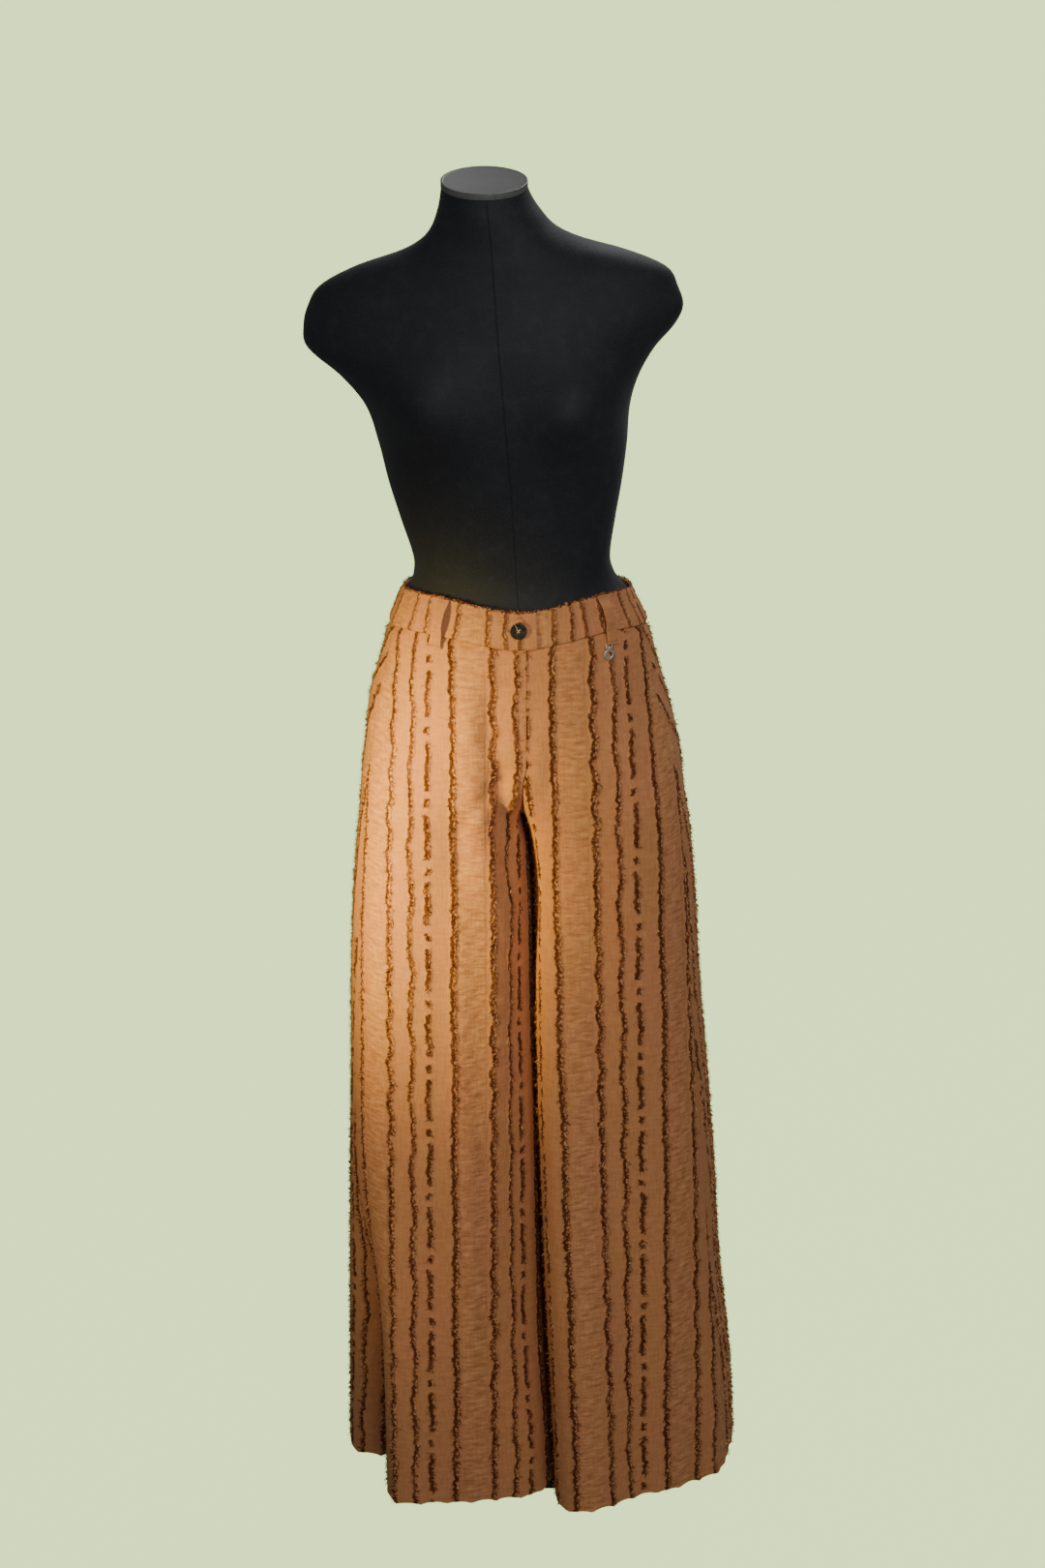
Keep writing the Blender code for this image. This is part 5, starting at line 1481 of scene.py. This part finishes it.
def form_points(level):
    """One ring of the form's surface: its own rounded section, or the trousers' inside lower."""
    row = Torso(*between(TORSO, level)[0])
    top = TORSO[-1].height
    tilt = math.tan(NECK_TILT) * float(ease((level - NECK_FOOT) / (top - NECK_FOOT)))
    angle = np.arange(FORM_AROUND) * TURN / FORM_AROUND
    cosine = np.cos(angle)
    sine = np.sin(angle)
    face = np.where(sine < 0, row.front, row.back)
    power = 2.0 / row.square
    x = row.half_width * np.sign(cosine) * np.abs(cosine) ** power
    y = face * np.sign(sine) * np.abs(sine) ** power
    for bust in BUST_XS:
        far = ((x + row.centre_x - bust) / BUST_SPREAD) ** 2
        far = far + ((level - BUST_HEIGHT) / (BUST_SPREAD * 1.05)) ** 2
        y = np.where(y < 0.0, y - BUST_RISE * np.exp(-far) * np.minimum(1.0, -y / 0.05), y)
    ring = np.stack([row.centre_x + x, y, level + tilt * y], axis=1)
    own = float(ease((level - HIP_MERGE) / (WAIST_MERGE - HIP_MERGE)))
    if own < 1.0:
        heading = np.degrees(np.arctan2(-sine, np.abs(cosine)))
        height = np.full(FORM_AROUND, level)
        clear = HIP_CLEAR + (BAND_CLEAR - HIP_CLEAR) * float(ease((level - BAND_FOOT) / BAND_FOOT_RAMP))
        inside = np.zeros((FORM_AROUND, 3))
        for leg, part in (("left", cosine >= 0.0), ("right", cosine < 0.0)):
            here = FACES[(leg, "front")]
            spot, out = here.at(here.run_at(heading, height), height)
            inside[part] = (spot - out * clear)[part]
        inside[:, 2] = level
        ring = inside + (ring - inside) * own
    seam_x = np.interp(level, (1.000, 1.200, 1.498), FRONT_SEAM_XS)
    back_x = np.interp(level, (1.000, 1.498), (-0.005, -0.040))
    return ring, np.stack([ring[:, 0] - np.where(sine < 0, seam_x, back_x), ring[:, 2]], axis=1)


levels = np.arange(TORSO[0].height, TORSO[-1].height, FORM_LEVEL)
levels = np.append(levels[TORSO[-1].height - levels > FORM_LEVEL / 2.0], TORSO[-1].height)
rings = [form_points(level) for level in levels]
points = np.concatenate([ring for ring, _ in rings])
points = np.concatenate([points, [rings[0][0].mean(axis=0), rings[-1][0].mean(axis=0)]])
uvs = np.concatenate([uv for _, uv in rings] + [[[0.5, 0.0], [0.5, 0.0]]])
cells = outward_cells(points, tube_cells(len(levels), FORM_AROUND))
body = solid_mesh("dress_form_body", points, cells, uvs, black_jersey())
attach(body, STILL)
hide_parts("dress_form")

# Neck cap
# A flat satin grey disc, a little oval, set on the forward-tilted top of the neck.
CAP_SIZE = (0.0458, 0.0462)
CAP_THICK = 0.0067
CAP_RIM = 0.0022
CAP_GROOVE = 0.0003
CAP_SOFT = 0.0007


def satin_grey():
    finish = Finish("satin_grey", 0.42, 0.35, Specular_IOR_Level=0.5)
    place = finish.own_place()
    brushed = finish.noise(place, 45.0, 1400.0, 1400.0)
    colour = finish.mix(finish.fade(brushed, 0.3, 0.7), (0.105, 0.108, 0.108),
                        (0.150, 0.152, 0.150))
    return finish.surface(Base_Color=colour, Roughness=brushed * 0.16 + 0.34,
                          Normal=finish.bump(brushed, 0.0002, 0.12))


neck = TORSO[-1]
cap = cylinder(128, 1.0, CAP_THICK)
cap.name = "satin_neck_cap"
cap.scale = (CAP_SIZE[0], CAP_SIZE[1], 1.0)
apply_place(cap)
pick_faces(cap, lambda centre, normal: normal.z > 0.9)
bpy.ops.mesh.inset(thickness=CAP_RIM)
bpy.ops.mesh.inset(thickness=CAP_GROOVE, depth=-CAP_GROOVE)
bpy.ops.object.mode_set(mode="OBJECT")
soften(cap, CAP_SOFT)
cap.rotation_euler = (NECK_TILT, 0.0, 0.0)
cap.location = (neck.centre_x, (neck.back - neck.front) / 2.0,
                neck.height + SEAM + CAP_THICK / 2.0)
apply_place(cap)
cover(cap, satin_grey())
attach(cap, STILL)
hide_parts("neck_cap")

# Stand
# A steel pole that runs down inside the wearer's right leg to a flat plate with rounded corners,
# both powder coated in satin black. The part rests on the plate.
BASE_SIZE = (0.290, 0.210)
BASE_CENTRE = (0.010, 0.020)
BASE_THICK = 0.0080
BASE_CORNER = 0.030
BASE_SOFT = 0.0012
POLE_XY = (-0.080, 0.020)
POLE_RADIUS = 0.0125
POLE_SOFT = 0.0008


def powder_coat():
    finish = Finish("powder_coat", 0.50, 0.0, Specular_IOR_Level=0.45)
    place = finish.own_place()
    grain = finish.noise(place, 950.0, roughness=0.6)
    dust = finish.noise(place, 20.0, detail=3.0, roughness=0.6)
    colour = finish.mix(finish.fade(dust, 0.45, 0.85), (0.016, 0.016, 0.017),
                        (0.034, 0.034, 0.035))
    return finish.surface(Base_Color=colour, Roughness=grain * 0.20 + 0.40,
                          Normal=finish.bump(grain, 0.0003, 0.35))


POWDER = powder_coat()
bpy.ops.mesh.primitive_cube_add(size=1.0, location=(*BASE_CENTRE, BASE_THICK / 2.0))
plate = bpy.context.object
plate.name = "steel_base_plate"
plate.scale = (*BASE_SIZE, BASE_THICK)
apply_place(plate)
bpy.ops.object.mode_set(mode="EDIT")
bpy.ops.mesh.select_mode(type="EDGE")
bpy.ops.mesh.select_all(action="DESELECT")
work = bmesh.from_edit_mesh(plate.data)
for edge in work.edges:
    run = edge.verts[0].co - edge.verts[1].co
    edge.select = abs(run.z) > BASE_THICK / 2.0
bmesh.update_edit_mesh(plate.data)
bpy.ops.mesh.bevel(offset=BASE_CORNER, segments=12, affect="EDGES")
bpy.ops.object.mode_set(mode="OBJECT")
soften(plate, BASE_SOFT, angle=60.0)
cover(plate, POWDER)
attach(plate, STILL)
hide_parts("base_plate")

pole_low = BASE_THICK + SEAM
pole_high = TORSO[0].height - SEAM
pole = cylinder(64, POLE_RADIUS, pole_high - pole_low, (*POLE_XY, (pole_low + pole_high) / 2.0))
pole.name = "steel_stand_pole"
apply_place(pole)
soften(pole, POLE_SOFT)
cover(pole, POWDER)
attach(pole, STILL)
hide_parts("stand_pole")

# Studio
# A pale sage floor that curves up into a plain backdrop. A narrow soft spot lights the garment
# from the left front with a weak one below it, a large weak light stands in front and one
# behind, and the sky is dim.
SAGE = (0.752, 1.000, 0.410)
FLOOR_HALF = 8.0
SWEEP_BACK = 6.5
SWEEP_RADIUS = 1.5
SWEEP_TOP = 6.0
SWEEP_STEPS = 16
PAPER_GLOW = 1.80
SKY_STRENGTH = 0.16
sweep = [(-FLOOR_HALF, 0.0), (SWEEP_BACK, 0.0)]
for step in range(1, SWEEP_STEPS + 1):
    climb = TURN / 4.0 * step / SWEEP_STEPS
    sweep.append((SWEEP_BACK + SWEEP_RADIUS * math.sin(climb),
                  SWEEP_RADIUS - SWEEP_RADIUS * math.cos(climb)))
sweep.append((SWEEP_BACK + SWEEP_RADIUS, SWEEP_TOP))
vertices = [(x, y, z) for x in (-FLOOR_HALF, FLOOR_HALF) for y, z in sweep]
faces = [(n, n + len(sweep), n + 1 + len(sweep), n + 1) for n in range(len(sweep) - 1)]
mesh = bpy.data.meshes.new("studio_sweep")
mesh.from_pydata(vertices, [], faces)
mesh.polygons.foreach_set("use_smooth", [True] * len(faces))
backdrop = bpy.data.objects.new("studio_sweep", mesh)
bpy.context.scene.collection.objects.link(backdrop)
paper = Finish("sage_paper", 0.95, Specular_IOR_Level=0.1)
fibre = paper.noise(paper.own_place(), 3.0)
pulp = paper.mix(fibre * 0.04, (0.050, 0.054, 0.042), (0.055, 0.060, 0.046))
mesh.materials.append(paper.surface(Base_Color=pulp, Emission_Color=SAGE,
                                    Emission_Strength=PAPER_GLOW))
backdrop.visible_diffuse = False
backdrop.visible_glossy = False


def lamp(name, kind, spot, aim, watts, colour, **settings):
    bpy.ops.object.light_add(type=kind, location=spot)
    made = bpy.context.object
    made.name = name
    made.data.energy = watts
    made.data.color = colour
    made.rotation_euler = (Vector(aim) - Vector(spot)).to_track_quat("-Z", "Y").to_euler()
    for setting, value in settings.items():
        setattr(made.data, setting, value)
    return made


def narrow_spot(name, spot, aim, watts, colour, degrees, narrowing):
    """A soft-edged spot, narrower from side to side than from top to bottom."""
    made = lamp(name, "SPOT", spot, aim, watts, colour, spot_size=math.radians(degrees),
                spot_blend=1.0, shadow_soft_size=0.09)
    made.scale.x = narrowing


narrow_spot("key", (-0.96, -0.78, 1.06), (-0.115, -0.09, 0.82), 204.0, (1.0, 0.80, 0.23), 37.0, 0.33)
narrow_spot("low_key", (-0.96, -0.78, 0.72), (-0.10, -0.08, 0.40), 14.0, (1.0, 0.84, 0.45), 34.0, 0.60)
lamp("fill", "AREA", (0.55, -2.30, 2.30), (0.0, 0.0, 0.85), 34.0, (1.0, 0.99, 0.95),
     shape="DISK", size=1.4)
lamp("rim", "AREA", (0.7, 1.5, 2.6), (0.0, 0.0, 1.2), 20.0, (1.0, 1.0, 1.0),
     shape="DISK", size=1.2)
sky = bpy.data.worlds.new("studio_sky")
sky.use_nodes = True
dome = sky.node_tree.nodes["Background"]
dome.inputs["Color"].default_value = (0.86, 0.90, 0.86, 1.0)
dome.inputs["Strength"].default_value = SKY_STRENGTH
bpy.context.scene.world = sky
